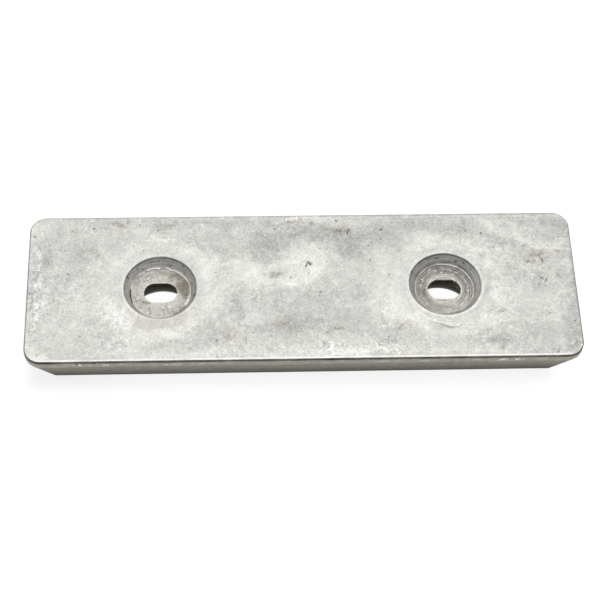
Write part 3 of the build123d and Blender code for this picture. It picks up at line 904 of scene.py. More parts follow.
def torn_edge_glint(s, p, zone):
    """A painted glint on the torn edge of the skin over the strap: strongest round the back of the
    left recess, faint round the right one."""
    x, y, z = p.T
    bearing = np.degrees(np.arctan2(y, x - np.sign(x) * s.hole_pitch / 2))
    low = zone["bore"] * smooth(21.42, 21.26, z)
    tear = 0.55 + 0.9 * layered(p, 1.4, 88, 2, 0.6)
    left = 0.6 * smooth(-25, 5, bearing) * smooth(152, 138, bearing)
    right = 0.25 + 0.35 * smooth(10, 30, bearing) * smooth(100, 75, bearing)
    return np.clip(low * np.where(x < 0, left * (0.5 + tear), right * tear), 0, 1)


def poured_tone(s, p, zone, wx, wy, edge):
    """Lightness of the poured face: clouds, a halo and a pale ring round each recess, grain,
    drawn lines along the back edge, painted light that grows towards the left end, and painted
    shade on the arris everywhere but in front."""
    x, y, _ = p.T
    around = zone["around"]
    bearing = np.arctan2(y, np.abs(x) - s.hole_pitch / 2)
    ring = np.stack([np.cos(bearing) * 4, np.sin(bearing) * 4, np.sign(x) * 5], -1)
    swirl = layered(ring, 2.2, 31, 3)
    halo = bell(around - 1.5 * swirl, 17.0, 3.6) * (0.075 + 0.03 * swirl)
    rim = 0.07 * bell(around, 14.7, 0.5)
    ring_edge = smooth(23.0, 21.2, around + 0.9 * swirl) * smooth(14.5, 19.0, around)
    tone = 1.44 * blots(wx, wy, CLOUDS, 1.5) + 0.6 * halo + rim + 0.055 * ring_edge
    # Fine grain, and painted light that makes the face lighter towards its left end.
    tone += 0.034 * layered(p, 5.0, 21, 4, 0.72) - 0.045 * x / 105
    tone += 0.030 * layered(p * [0.35, 1, 1], 5.0, 22, 3, 0.6) * smooth(-60, -95, x)
    for mark in BEADS:
        tone += 0.16 * np.exp(-reach(x, y, mark) ** 2)
    lines = np.sin(edge * 5.2 + 0.7 * ripple(p, 14, 66))
    lines = lines * smooth(27, 30, y) * smooth(3.6, 2.0, edge)
    tone += 0.05 * lines * (1 + ripple(p, 9, 67))
    # Painted shade on the arris everywhere but in front, deeper along part of the back edge.
    tone -= 0.20 * smooth(0.75, 0.35, edge) * smooth(-30, -27, y)
    back_arris_shade = smooth(0.70, 0.35, edge) * smooth(29, 31, y) * smooth(-14, -2, x)
    return tone - 0.30 * back_arris_shade * (1 + ripple(p, 8, 68))


def poured_relief(p, zone, wx, wy, edge, froth):
    """Relief of the poured face: slow waves, froth, a raised lip along the edges, beads and
    scratches, less the pits."""
    x, y, _ = p.T
    relief = 0.045 * layered(p, 26, 61, 2) + 0.022 * layered(p, 7, 62, 3, 0.55)
    relief += froth * 0.050 * layered(p, 1.7, 63, 2, 0.6)
    relief += 0.07 * bell(zone["around"], 16.0, 2.2) + 0.03 * blots(wx, wy, CLOUDS)
    relief += 0.11 * bell(edge, 0.3, 0.6) * (1 + 0.5 * ripple(p, 6, 64))
    pit = np.zeros_like(x)
    for mark in PITS:
        pit = np.maximum(pit, mark[5] * np.exp(-(reach(x, y, mark) / 1.25) ** 2))
    for mark in BEADS:
        relief += mark[5] * np.exp(-reach(x, y, mark) ** 2)
    for ax, ay, bx, by, half, _, rise in SCRATCHES:
        run = (ax, ay, bx, by, max(half, 0.3))
        relief += rise * np.exp(-reach(x, y, run) ** 2)
    return relief - pit


def casting_relief(s, p, zone, poured):
    """The poured relief on the hull face, gentle waves on the mould side, which never dip under
    the outer face, and turning marks in the recesses."""
    x, y, z = p.T
    bearing = np.arctan2(y, np.abs(x) - s.hole_pitch / 2)
    mould = 0.05 * layered(p, 14, 71, 3, 0.5) + 0.012 * ripple(p, 2.2, 72)
    outer = np.minimum(-0.03 - 0.03 * layered(p, 16, 73, 3, 0.5), 0.0)
    turned = 0.018 * ripple(np.stack([zone["around"] * 2.2, z * 2.2, bearing * 0.6], -1), 1.0, 74)
    pocket = 0.02 * ripple(p, 4, 75) * smooth(0.2, 1, z) * smooth(18, 17, z)
    return np.select(
        [zone["hull"], zone["wall"], zone["outer"], zone["bore"], zone["pocket"]],
        [
            poured, mould * smooth(0.0, 1.5, z) * smooth(25, 24.2, z), outer,
            turned * smooth(21.4, 21.8, z) * smooth(25, 24.5, z), pocket,
        ],
        0.0,
    )


def recess_tone(s, p, zone, tone):
    """Painted light and shade on the recess walls and round their rims: painted shade under the
    mouth at the back and on each wall by the way it faces, a painted highlight where the rim
    faces forward, and a painted dark and light line of a step at the foot of the right one."""
    x, y, z = p.T
    around = zone["around"]
    back = y / np.maximum(around, 1)
    right, left = x > 0, x < 0
    outer_right = x > s.hole_pitch / 2
    behind, ahead = smooth(-0.2, 0.8, back), smooth(-0.25, -0.8, back)
    rim_highlight = np.maximum(ahead, 0.8 * (x > s.hole_pitch / 2 + 9) * smooth(0.5, 0.0, back))
    mouth = smooth(24.35, 24.6, z) * (0.25 + 0.75 * behind) * (1 - ahead)
    back_left = left * smooth(60, 110, np.degrees(np.arctan2(y, x + s.hole_pitch / 2)))
    foot_line = bell(around, 11.75, 0.16) - 0.6 * bell(around, 11.3, 0.16)
    shade = 0.16 * layered(p, 2.6, 84, 4, 0.7)
    shade += smooth(24.2, 21.8, z) * (0.08 + 0.16 * back_left)
    shade -= 0.42 * right * foot_line * (1 + 0.5 * ripple(p, 4, 90))
    shade -= 0.48 * mouth + (0.22 - 0.12 * (1 - behind)) * smooth(23.0, 24.4, z) - 0.10 * left
    shade += 0.30 * right * outer_right * smooth(0.85, 0.2, np.abs(back)) + 0.06 * right
    # The rim's rounding takes the hull face's tone, with painted light that is strongest where it
    # faces forward.
    on_rim = smooth(24.80, 24.95, z)
    shade = shade * (1 - on_rim) + (tone + 0.10 + 0.25 * rim_highlight) * on_rim
    tone = np.where(zone["bore"], shade, tone)
    # A painted highlight on the hull face just outside the rim where it faces forward.
    return np.where(zone["hull"], tone + 0.22 * rim_highlight * bell(around, 14.4, 0.35), tone)


def casting_fields(s, p, zone):
    """Relief in millimetres along the normal, and the fields that the material reads."""
    x, y, z = p.T
    wander = 2.4 * np.stack([layered(p, 9.0, 5, 4, 0.6), layered(p, 9.0, 6, 4, 0.6)], -1)
    wander += 0.7 * np.stack([ripple(p, 1.6, 8), ripple(p, 1.6, 9)], -1)
    wx, wy = x + wander[:, 0], y + wander[:, 1]
    top = zone["hull"] | zone["bore"]
    edge = np.minimum(s.span / 2 - np.abs(x), s.width / 2 - np.abs(y))
    front_wall = y < -s.width / 2 + 1.5

    froth = np.clip(blots(wx, wy, FROTH), 0, 1)
    stain = np.clip(blots(wx, wy, SCUM) * (0.75 + 0.9 * layered(p, 1.8, 41, 3, 0.7)), 0, 1)
    # A painted highlight along the front arris of the hull face.
    lip = 0.72 * smooth(-28, -31, y) * smooth(1.25, 0.75, edge)
    lip = lip * (0.85 + 0.5 * layered(p, 7.0, 65, 2))
    relief = casting_relief(s, p, zone, poured_relief(p, zone, wx, wy, edge, froth))

    # The land is painted paler than the leaning wall below it, a painted light for the upright
    # band's wider view of the sky, and a band of painted shade runs just under the hull edge.
    ragged = 0.22 * layered(p, 4.5, 85, 4, 0.7)
    # Painted shade in a band just under the hull edge.
    under_edge_shade = smooth(23.85 + ragged, 24.3 + ragged, z) * (0.72 + 0.5 * ripple(p, 9, 86))
    # Painted light: the upright land is made paler than the leaning wall below it.
    land = zone["wall"] * smooth(20.9, 21.9, z) * smooth(24.3 + ragged, 23.8 + ragged, z)
    seam = bell(z - 0.2 * ripple(p, 7, 89), 21.4, 0.35) * smooth(0.0, 0.7, ripple(p, 11, 88) + 0.2)
    chips = smooth(0.55, 0.8, ripple(p, 1.1, 82)) * smooth(0.1, 0.6, layered(p, 6.0, 81, 2))
    # Painted shade: the walls darken towards their foot, most of all just above it.
    below = (smooth(21.5, 1.0, z) + 0.60 * smooth(1.9, 1.1, z)) * smooth(-0.4, 0.7, z)

    cast = 0.05 * layered(p, 8, 83, 4, 0.7)
    tone = np.where(top, poured_tone(s, p, zone, wx, wy, edge), cast)
    tone = recess_tone(s, p, zone, tone)
    wall_tone = tone + 0.70 * land + 0.38 * seam + 0.14 * layered(p * [1, 1, 0.5], 3.2, 87, 3, 0.7)
    tone = np.where(zone["wall"], wall_tone, tone)
    nicked = zone["wall"] & front_wall & (z > 20)
    nicks = np.where(nicked[:, None], nearest_marks(x, z, NICKS), FAR)
    pits = [mark[:5] + (min(1.0, 0.30 + 1.8 * mark[5]),) for mark in PITS]
    plate = plate_mark(wx * 0.25 + x * 0.75, wy * 0.25 + y * 0.75)
    return relief, {
        "tone": tone,
        "lip": np.where(zone["hull"], np.clip(lip, 0, 1), 0.0),
        "stain": np.where(zone["hull"], stain, 0.0),
        "froth": np.where(zone["hull"], froth, 0.0),
        # Where the mould side's colour goes, which is partly painted shade.
        "mould": zone["wall"] * smooth(24.99, 24.85, z) + 0.85 * zone["outer"],
        "cored": zone["bore"] * smooth(24.93, 24.70, z) + zone["pocket"],
        # Painted shade in the nut pockets, stronger further in.
        "pocket_shade": zone["pocket"] * (0.55 + 0.45 * smooth(0.2, 2.5, z)),
        "nick": 0.7 * chips * ~front_wall * smooth(20, 22, z) * zone["wall"],
        "below": below * zone["wall"],
        "flash": torn_edge_glint(s, p, zone),
        "under_edge_shade": np.clip(under_edge_shade, 0, 1) * zone["wall"],
        "plate": np.where(top, plate, 0.0),
        "line_way": np.where(zone["bore"][:, None], nearest_marks(x, y, WALL_LINES), nicks),
        "pit_way": nearest_marks(x, y, pits),
        "scratch_way": nearest_marks(x, y, [mark[:6] for mark in SCRATCHES]),
    }


# --------------------------------------------------------------------------------------
# The strap
# --------------------------------------------------------------------------------------

def slot_loop(s, rays, grow):
    """A slot's outline by rays from its centre: the flats lie half a width away, and beyond them
    each ray meets the end's half circle, whose centre lies on the slot's axis."""
    radius = s.slot_width / 2 + grow
    shift = (s.slot_length - s.slot_width) / 2
    c, t = np.cos(rays), np.abs(np.sin(rays))
    flat = radius / np.maximum(t, 1e-9)
    round_end = shift * np.abs(c) + np.sqrt(np.maximum(radius ** 2 - (shift * t) ** 2, 0))
    return np.where(flat * np.abs(c) <= shift, flat, round_end)


def strap_skin(s):
    """The strap as one closed skin: two faces with windows round the slots, the slots' walls
    with a drawn-in upper edge and a thin burr below, and the four sides."""
    quilt = Quilt()
    window = 12.0                    # half the side of the square round each slot
    burr = ((0.0, 0.15), (0.05, 0.04), (0.16, 0.0))     # outward, up from the lower face
    left, right = holes = (-s.hole_pitch / 2, s.hole_pitch / 2)
    room, half_bar = s.width / 2, s.span / 2
    side = np.linspace(-window, window, 41)
    lines_x = joined(
        np.linspace(-half_bar, left - window, 8), left + side,
        np.linspace(left + window, right - window, 43), right + side,
        np.linspace(right + window, half_bar, 8),
    )
    lines_y = joined(np.linspace(-room, -window, 3), side, np.linspace(window, room, 3))
    keep = beside_windows(lines_x, lines_y, holes, window)
    sheet = np.stack(np.meshgrid(lines_x, lines_y), -1)
    quilt.grid(at_height(sheet, s.top), keep)
    quilt.grid(at_height(sheet, s.foot), keep, flip=True)
    around = rim_of(lines_x, lines_y)
    quilt.band(np.stack([at_height(around, z) for z in np.linspace(s.top, s.foot, 4)]), flip=True)
    for hole in holes:
        square = rim_of(hole + side, side)
        centre = (hole, 0.0)
        rays = rays_of(square, centre)
        rows = []
        for turn in np.linspace(0, math.pi / 2, 5):
            out, down = 1 - math.sin(turn), 1 - math.cos(turn)
            rows.append((s.lead_in * out, s.top - s.lead_in * down))
        rows += [(0.0, z) for z in np.linspace(s.top - s.lead_in, s.foot + burr[0][1], 7)[1:]]
        rows += [(out, s.foot + up) for out, up in burr[1:]]
        rim = circle(centre, rays, slot_loop(s, rays, rows[0][0]))
        loops = ease_between(square, rim, 1 - (1 - np.linspace(0, 1, 15)) ** 1.15, s.top)
        loops += [at_height(circle(centre, rays, slot_loop(s, rays, g)), z) for g, z in rows[1:]]
        last = loops[-1][:, :2]
        loops += ease_between(last, square, np.linspace(0, 1, 11)[1:], s.foot)
        quilt.band(np.stack(loops))
    return quilt.sewn()


def strap_fields(s, p):
    """Relief of the strap's bared faces, and the fields that its material reads."""
    x, y, z = p.T
    half_pitch = s.hole_pitch / 2
    around = np.hypot(np.abs(x) - half_pitch, y)
    right, left = (x > 0) * 1.0, x < 0
    bared = smooth(10.6, 9.6, around)
    faces = (z > s.top - 0.001) | (z < s.foot + 0.001)
    relief = bared * faces * (0.035 * layered(p, 3.2, 91, 3, 0.6) - 0.03)
    relief -= bared * faces * 0.10 * smooth(0.35, 0.75, ripple(p, 1.9, 92)) * left

    wx = x + 1.2 * layered(p, 4, 93, 2)
    wy = y + 1.2 * layered(p, 4, 94, 2)
    stain = blots(wx, wy, STRAP_STAINS) * (0.8 + 0.5 * layered(p, 1.5, 95, 3, 0.7))

    # Each bared floor carries painted shade towards its rim: under the left recess's torn flash
    # edge and over the back of the right one. The slots' edges are worn pale.
    beyond = np.maximum(np.abs(np.abs(x) - half_pitch) - (s.slot_length - s.slot_width) / 2, 0)
    rim = smooth(0.9, 0.5, np.hypot(beyond, y) - s.slot_width / 2) * (z > s.top - 0.3)
    bared_floor_shade = 0.32 * smooth(6.0, 8.3, around) * smooth(-8.5, -1.5, y) + 0.06 * smooth(0, 6, y)
    bared_floor_shade = right * bared_floor_shade
    bared_floor_shade -= right * 0.16 * np.exp(-((x - 49.0) / 2.0) ** 2 - ((y - 3.5) / 4.0) ** 2)
    to_right = (x + half_pitch) / np.maximum(around, 1)
    right_side = 0.42 * smooth(7.6, 10.9, around) * smooth(0.45, 0.9, to_right)
    left_side = 0.10 * smooth(7.5, 10.0, around) * smooth(0.3, -0.4, to_right)
    bared_floor_shade += left * (right_side - 0.10 * smooth(0.3, 0.9, to_right))
    bared_floor_shade += left * left_side * smooth(-4, 1, y)

    # The punched walls of the slots are dark, partly the sheared steel's own dark and partly
    # painted shade inside the slots, paler at mid height and at the right slot's end.
    inner = ((z < s.top - 0.3) & (z > s.foot + 0.02) & (around < 7.5)) * 1.0
    edges = smooth(0.75, 0.25, s.top - z) + smooth(0.9, 0.3, z - s.foot)
    to_end = (x - half_pitch) / s.slot_length
    streak = right * smooth(0.12, 0.34, to_end) * smooth(0.1, 0.5, ripple(p * (1, 1, 3.5), 2.2, 99))
    worn = (0.5 + 0.5 * layered(p * (1, 1, 1.6), 2.2, 98, 3, 0.6)) * (1 - np.clip(edges, 0, 1))
    worn += 7.0 * streak
    return relief, {
        "stain": np.clip(stain, 0, 1),
        "turned": right,
        "cut": inner * (1 - 0.08 * np.clip(worn, 0, 6)),
        "tone": 0.10 * layered(p, 2.4, 96, 4, 0.75) - 0.16 * right + 0.16 * rim - bared_floor_shade,
        "mark_way": nearest_marks(x, y, TOOL_MARKS),
    }


# --------------------------------------------------------------------------------------
# Shader sums
# --------------------------------------------------------------------------------------

class Wire:
    """A value in a node tree. Sums written on it add Math nodes."""

    def __init__(self, bench, socket):
        self.bench, self.socket = bench, socket

    def sum(self, operation, a, b):
        """One Math node."""
        return self.bench.add("ShaderNodeMath", {"operation": operation}, {0: a, 1: b})

    def __add__(self, other):
        return self.sum("ADD", self, other)

    def __radd__(self, other):
        return self.sum("ADD", other, self)

    def __sub__(self, other):
        return self.sum("SUBTRACT", self, other)

    def __rsub__(self, other):
        return self.sum("SUBTRACT", other, self)

    def __mul__(self, other):
        return self.sum("MULTIPLY", self, other)

    def __rmul__(self, other):
        return self.sum("MULTIPLY", other, self)

    def __truediv__(self, other):
        return self.sum("DIVIDE", self, other)

    def __pow__(self, other):
        return self.sum("POWER", self, other)

    def __neg__(self):
        return self.sum("MULTIPLY", self, -1.0)

    def __abs__(self):
        return self.sum("ABSOLUTE", self, 0.0)

    def larger(self, other):
        """The larger of the two."""
        return self.sum("MAXIMUM", self, other)

    def smaller(self, other):
        """The smaller of the two."""
        return self.sum("MINIMUM", self, other)

    def step(self, low, high):
        """0 below low, 1 above high, eased between them; low may be the larger one."""
        return self.bench.add(
            "ShaderNodeMapRange", {"interpolation_type": "SMOOTHSTEP"},
            {"Value": self, "From Min": low, "From Max": high},
        )


class Bench:
    """A material's node tree, with the few moves that the finishes need."""

    def __init__(self, name, tree=None):
        if tree is None:
            old = bpy.data.materials.get(name)
            if old is not None:
                bpy.data.materials.remove(old)
            self.material = bpy.data.materials.new(name)
            self.material.use_nodes = True
            tree = self.material.node_tree
        self.tree = tree
        self.tree.nodes.clear()

    def add(self, kind, settings=None, values=None, out=0):
        """Adds a node: its settings first, then the values or links of its sockets."""
        node = self.tree.nodes.new(kind)
        for key, value in (settings or {}).items():
            setattr(node, key, value)
        for key, value in (values or {}).items():
            socket = node.inputs[key]
            if isinstance(value, Wire):
                self.tree.links.new(value.socket, socket)
            else:
                socket.default_value = value
        return Wire(self, node.outputs[out])

    def field(self, name):
        """One of the mesh's own fields."""
        return self.add("ShaderNodeAttribute", {"attribute_name": name}, out="Fac")

    def vector(self, operation, a, b=None, c=None, scale=None, out=0):
        """One Vector Math node, given only the inputs that it uses."""
        values = {key: value for key, value in zip((0, 1, 2, "Scale"), (a, b, c, scale))
                  if value is not None}
        return self.add("ShaderNodeVectorMath", {"operation": operation}, values, out)

    def blend(self, amount, first, second, kind="MIX"):
        """Two colours mixed."""
        return self.add(
            "ShaderNodeMix", {"data_type": "RGBA", "blend_type": kind},
            {0: amount, 6: first, 7: second}, out=2,
        )

    def split(self, vector):
        """The three parts of a vector."""
        first = self.add("ShaderNodeSeparateXYZ", {}, {0: vector})
        return [Wire(self, part) for part in first.socket.node.outputs]

    def noise(self, where, size, detail=2.0, roughness=0.5):
        """Noise of about 0 to 1 with bumps of the given size in millimetres."""
        return self.add("ShaderNodeTexNoise", {"noise_dimensions": "3D"}, {
            "Vector": where, "Scale": 1.0 / size, "Detail": detail, "Roughness": roughness,
        }, out="Fac")

    def sway(self, where, scale):
        """A random colour that wanders slowly, to be added to coordinates as a shift."""
        return self.add(
            "ShaderNodeTexNoise", {}, {"Vector": where, "Scale": scale, "Detail": 2.0}, out="Color"
        )

    def shake(self, where):
        """A shift of up to 2.5 in the plan, for edges that shouldn't run straight."""
        drift = self.sway(where, 1.6)
        return self.vector("MULTIPLY_ADD", drift, (5.0, 5.0, 0.0), (-2.5, -2.5, 0.0))

    def dots(self, where, size, outer, core):
        """Scattered dots of uneven size, and the random lot that each one drew."""
        lot = self.add("ShaderNodeSeparateColor", {}, {0: self.cells(where, size, "Color")})
        return (self.cells(where, size) * size + 0.25 - lot * 0.25).step(outer, core), lot

    def bump(self, heights):
        """A normal bent by heights in millimetres."""
        values = {"Strength": 1.0, "Distance": MM, "Height": heights}
        return self.add("ShaderNodeBump", {}, values)

    def cells(self, where, size, out="Distance", feature="F1"):
        """Distance to the nearest of scattered points, size apart, or a random colour for it."""
        return self.add("ShaderNodeTexVoronoi", {"feature": feature}, {
            "Vector": where, "Scale": 1.0 / size,
        }, out=out)

    def mark(self, name, shake, outer, core):
        """A field of ways to the nearest mark, drawn: full strength within core half-widths of
        its run, nothing beyond outer, with an edge that the shake makes uneven."""
        way = self.add("ShaderNodeAttribute", {"attribute_name": name}, out="Vector")
        flat = self.vector("MULTIPLY_ADD", way, (1.0, 1.0, 0.0), shake)
        weight = self.add("ShaderNodeSeparateXYZ", {}, {0: way}, out=2)
        return self.vector("LENGTH", flat, out="Value").step(outer, core) * weight

    def close(self, kind, shader):
        """Links the shader to an output of the given kind."""
        output = self.tree.nodes.new(kind)
        self.tree.links.new(shader.socket, output.inputs["Surface"])

    def finish(self, **sockets):
        """The shader and its output."""
        shader = self.add("ShaderNodeBsdfPrincipled", {}, {
            key.replace("_", " "): value for key, value in sockets.items()
        })
        self.close("ShaderNodeOutputMaterial", shader)
        return self.material


# What both metals share. The tint keeps their mirror part as warm as their colour.
METAL = {"Specular_IOR_Level": 0.3, "Specular_Tint": (0.70, 0.67, 0.60, 1)}

# Fresh metal at chips, drawn lines and tool marks, some of them painted glints of the torn flash
# edge; painted shade under the hull edge; and the dirt of marks, some of it painted shadow.
FRESH_CHIP_AND_GLINT = (0.92, 0.915, 0.89, 1)
FRESH_NICK_AND_GLINT = (0.93, 0.925, 0.90, 1)
FRESH_STEEL_AND_GLINT = (0.93, 0.92, 0.89, 1)
UNDER_EDGE_SHADE = (0.045, 0.042, 0.034, 1)
STEEL_PIT = (0.20, 0.17, 0.13, 1)
STEEL_DIRT_AND_SHADE = (0.12, 0.10, 0.075, 1)


def millimetres(bench):
    """Object coordinates in millimetres."""
    return bench.vector("SCALE", bench.add("ShaderNodeTexCoord", out="Object"), scale=1 / MM)


def from_axis(bench, place, half_pitch):
    """Distance from the nearer recess's axis."""
    x, y, _ = bench.split(place)
    offset = abs(x) - half_pitch
    return (offset * offset + y * y) ** 0.5


def curds(bench, place, tone, foam):
    """Light islands and darker inlets with crisp shores, which follow the clouds, and fine curled
    lines. All are strongest where the skin is frothy."""
    bent = bench.vector("MULTIPLY_ADD", bench.sway(place, 0.45), (3.0, 3.0, 0.0), place)

    def elsewhere(shift, size, detail, roughness):
        """Noise read away from where the rest reads it."""
        return bench.noise(bench.vector("ADD", bent, shift), size, detail, roughness)

    billow = bench.noise(bent, 3.0, 3.5, 0.6)
    islands = (billow + tone * 0.9).step(0.505, 0.54)
    inlets = (elsewhere((7.0, 21.0, 0.0), 2.6, 3.5, 0.6) + tone * 0.9).step(0.45, 0.42)
    net = (bench.cells(bent, 2.5, feature="DISTANCE_TO_EDGE") * 2.5).step(0.46, 0.14)
    net = net * bench.noise(place, 2.0, 2.0).step(0.40, 0.50)
    curl = abs(elsewhere((40.0, 0.0, 9.0), 3.2, 1.5, 0.5) - 0.5).step(0.075, 0.02)
    curl = curl * bench.noise(place, 2.2, 2.0).step(0.42, 0.54)
    thread = abs(elsewhere((3.0, 60.0, 0.0), 1.7, 1.5, 0.5) - 0.5).step(0.10, 0.02)
    crinkle = islands * (0.12 + 0.06 * foam) - inlets * (0.13 + 0.05 * foam)
    crinkle = crinkle + net * foam * 0.72 - 0.30 * foam
    return crinkle + curl * (0.20 + 0.35 * foam) + (thread - 0.35) * 0.31


def alloy_finish(colours, half_pitch):
    """Cast alloy: clouds, scum, froth, pits and scratches on the poured face, a painted highlight
    along its front arris, a duller skin on the mould side that is partly painted shade, painted
    shade at the walls' foot, under the hull edge and in the nut pockets, painted glints on the
    torn flash edge, and turning lines in the recesses."""
    bench = Bench("cast_alloy_skin")
    place = millimetres(bench)
    shake = bench.shake(place)
    tone, stain, froth, mould, cored, nick, below, flash, under_edge_shade, plate, pocket_shade, lip = (
        bench.field(name) for name in (
            "tone", "stain", "froth", "mould", "cored", "nick", "below", "flash", "under_edge_shade",
            "plate", "pocket_shade", "lip",
        )
    )
    poured = 1.0 - mould.larger(cored).smaller(1.0)

    mottle = bench.noise(place, 2.4, 4.0, 0.66) - 0.5
    grain = bench.noise(place, 0.55, 2.0, 0.6) - 0.5
    streak = bench.noise(bench.vector("MULTIPLY", place, (0.25, 1.0, 1.0)), 0.9, 3.0, 0.6) - 0.5

    foam = froth.step(0.05, 0.7)
    calm = bench.noise(place, 17.0, 1.0).step(0.38, 0.60)
    crinkle = curds(bench, place, tone, foam) * poured * (0.68 + 0.46 * calm)

    # Small random pits, and specks of bright metal.
    uneven = bench.vector("MULTIPLY_ADD", shake, (0.16, 0.16, 0.0), place)
    pits, lot = bench.dots(uneven, 2.4, 0.34, 0.14)
    pits = pits * (lot - tone * 0.9).step(0.60, 0.86) * poured
    aside = bench.vector("ADD", uneven, (31.0, 17.0, 5.0))
    specks = (bench.cells(aside, 1.9) * 1.9).step(0.42, 0.16)
    specks = specks * bench.noise(place, 6.0, 3.0).step(0.48, 0.60) * poured

    # Placed marks.
    holes = bench.mark("pit_way", shake, 1.10, 0.35) * poured
    light = bench.mark("scratch_way", bench.vector("SCALE", shake, scale=0.35), 1.6, 0.4) * poured

    # Turning lines round each recess.
    radius, height = from_axis(bench, place, half_pitch), bench.split(place)[2]
    rings = bench.add("ShaderNodeCombineXYZ", {}, {0: radius, 1: height, 2: mottle * 0.35})
    rings = bench.noise(rings, 0.42, 2.0, 0.6) - 0.5

    lightness = tone * 0.9 + (mottle * 0.34 + streak * 0.22) * (1.0 + 1.2 * cored) + grain * 0.64
    # The lip field adds a painted highlight along the front arris.
    lightness = lightness + crinkle * 0.43 + specks * 0.20 + light + rings * 2.4 * cored + lip
    lightness = lightness + (mottle * 0.3 + streak * 0.5) * mould
    base = bench.blend(mould.smaller(1.0), (*colours.alloy, 1), (*colours.mould_skin_and_shade, 1))
    base = bench.blend(cored.smaller(1.0), base, (*colours.alloy_bore, 1))
    base = bench.blend(plate * 0.9, base, (*colours.alloy_plate, 1))
    chipped = nick * bench.noise(place, 0.8, 2.0, 0.6).step(0.40, 0.50)
    # Fresh metal at chips in the walls, and a painted glint along the torn flash edge.
    base = bench.blend(chipped.larger(flash).smaller(1.0), base, FRESH_CHIP_AND_GLINT)
    # Painted shade in a band just under the hull edge.
    base = bench.blend(under_edge_shade * 0.9, base, UNDER_EDGE_SHADE)
    lightness = lightness * (1.0 - 0.45 * plate)
    # The walls' painted shade towards the foot darkens the colour here.
    base = bench.vector("SCALE", base, scale=(1.0 + lightness) * (1.0 - below * 0.72))
    # Painted shade in the nut pockets: a near-black colour, uneven, and strongest furthest in.
    crust = bench.noise(place, 1.2, 4.0, 0.7).step(0.45, 0.75)
    pocket_shade_colour = bench.vector("SCALE", (*colours.pocket,), scale=0.4 + crust * 4.0)
    base = bench.blend(pocket_shade.smaller(1.0), base, pocket_shade_colour)
    # Above zero, painted glints on the torn flash edge and fresh metal in the land's nicks; below
    # zero, dark crevices, partly painted shadow, and dark gouges.
    lines = bench.mark("line_way", bench.vector("SCALE", shake, scale=0.30), 1.5, 0.6)
    base = bench.blend(lines.larger(0.0).smaller(1.0), base, FRESH_NICK_AND_GLINT)
    base = bench.blend((-lines).larger(0.0).smaller(0.9), base, (*colours.pit, 1))
    blotch = stain * bench.noise(place, 0.8, 3.0, 0.65).step(0.36, 0.60)
    base = bench.blend(blotch.smaller(0.85), base, (*colours.alloy_stain, 1))
    base = bench.blend(holes.larger(pits * 0.6).smaller(0.96), base, (*colours.pit, 1))

    heights = (mottle * 0.10 + grain * 0.05) * (1.0 - 0.6 * plate) + crinkle * 0.10 - pits * 0.12
    heights = heights - holes * 0.2 + light * 0.15 + rings * 0.08 * cored + lines * 0.06
    rough = 0.52 + grain * 0.12 + mould * 0.08 + stain * 0.15 - nick * 0.1
    return bench.finish(
        Base_Color=base, Roughness=rough, Metallic=0.6, Normal=bench.bump(heights), **METAL
    )


def steel_finish(colours, half_pitch):
    """Strap steel: tool marks and stain on the left, a few of the marks painted glints and shadow
    by the torn flash edge, turned rings on the right, and dark slots that are partly painted shade.
    """
    bench = Bench("strap_steel_skin")
    place = millimetres(bench)
    tone, stain, turned, cut = (bench.field(f) for f in ("tone", "stain", "turned", "cut"))
    mottle = bench.noise(place, 1.6, 4.0, 0.65) - 0.5
    grain = bench.noise(place, 0.4, 3.0, 0.6) - 0.5
    radius = from_axis(bench, place, half_pitch)
    rings = bench.add("ShaderNodeCombineXYZ", {}, {0: radius, 2: mottle * 0.8})
    rings = (bench.noise(rings, 0.5, 2.0, 0.6) - 0.5) * turned
    shake = bench.shake(place)
    uneven = bench.vector("MULTIPLY_ADD", shake, (0.18, 0.18, 0.0), place)
    pits, lot = bench.dots(uneven, 1.3, 0.42, 0.16)
    pits = pits * lot.step(0.55, 0.85) * (1.0 - 0.7 * turned)
    brown = bench.noise(place, 1.3, 3.0, 0.7).step(0.50, 0.66) * (1.0 - 0.4 * turned)
    marks = bench.mark("mark_way", shake, 1.5, 0.5)
    lightness = tone + mottle * 0.95 + grain * 0.7 + rings * 2.6
    base = bench.vector("SCALE", (*colours.steel,), scale=1.0 + lightness)
    base = bench.blend((stain * 0.85).larger(brown * 0.35), base, (*colours.steel_stain, 1))
    base = bench.blend(pits * 0.55, base, STEEL_PIT)
    # Fresh steel and dirt at the tool marks, with a few painted glints and some painted shadow
    # among them.
    base = bench.blend(marks.larger(0.0), base, FRESH_STEEL_AND_GLINT)
    base = bench.blend((-marks).larger(0.0) * 0.8, base, STEEL_DIRT_AND_SHADE)
    base = bench.blend(cut, base, (*colours.cut, 1))
    heights = mottle * 0.05 + grain * 0.03 + rings * 0.06 - pits * 0.10 + marks * 0.05
    rough = 0.48 + grain * 0.15 + stain * 0.2
    metal = 0.6 + cut * 0.4
    return bench.finish(
        Base_Color=base, Roughness=rough, Metallic=metal, Normal=bench.bump(heights), **METAL
    )


# --------------------------------------------------------------------------------------
# Operators
# --------------------------------------------------------------------------------------

class Millimetres:
    """A property group's lengths in millimetres, with a few more added."""

    def __init__(self, group, **more):
        for key in group.__annotations__:
            setattr(self, key, getattr(group, key) / MM)
        for key, value in more.items():
            setattr(self, key, value / MM)


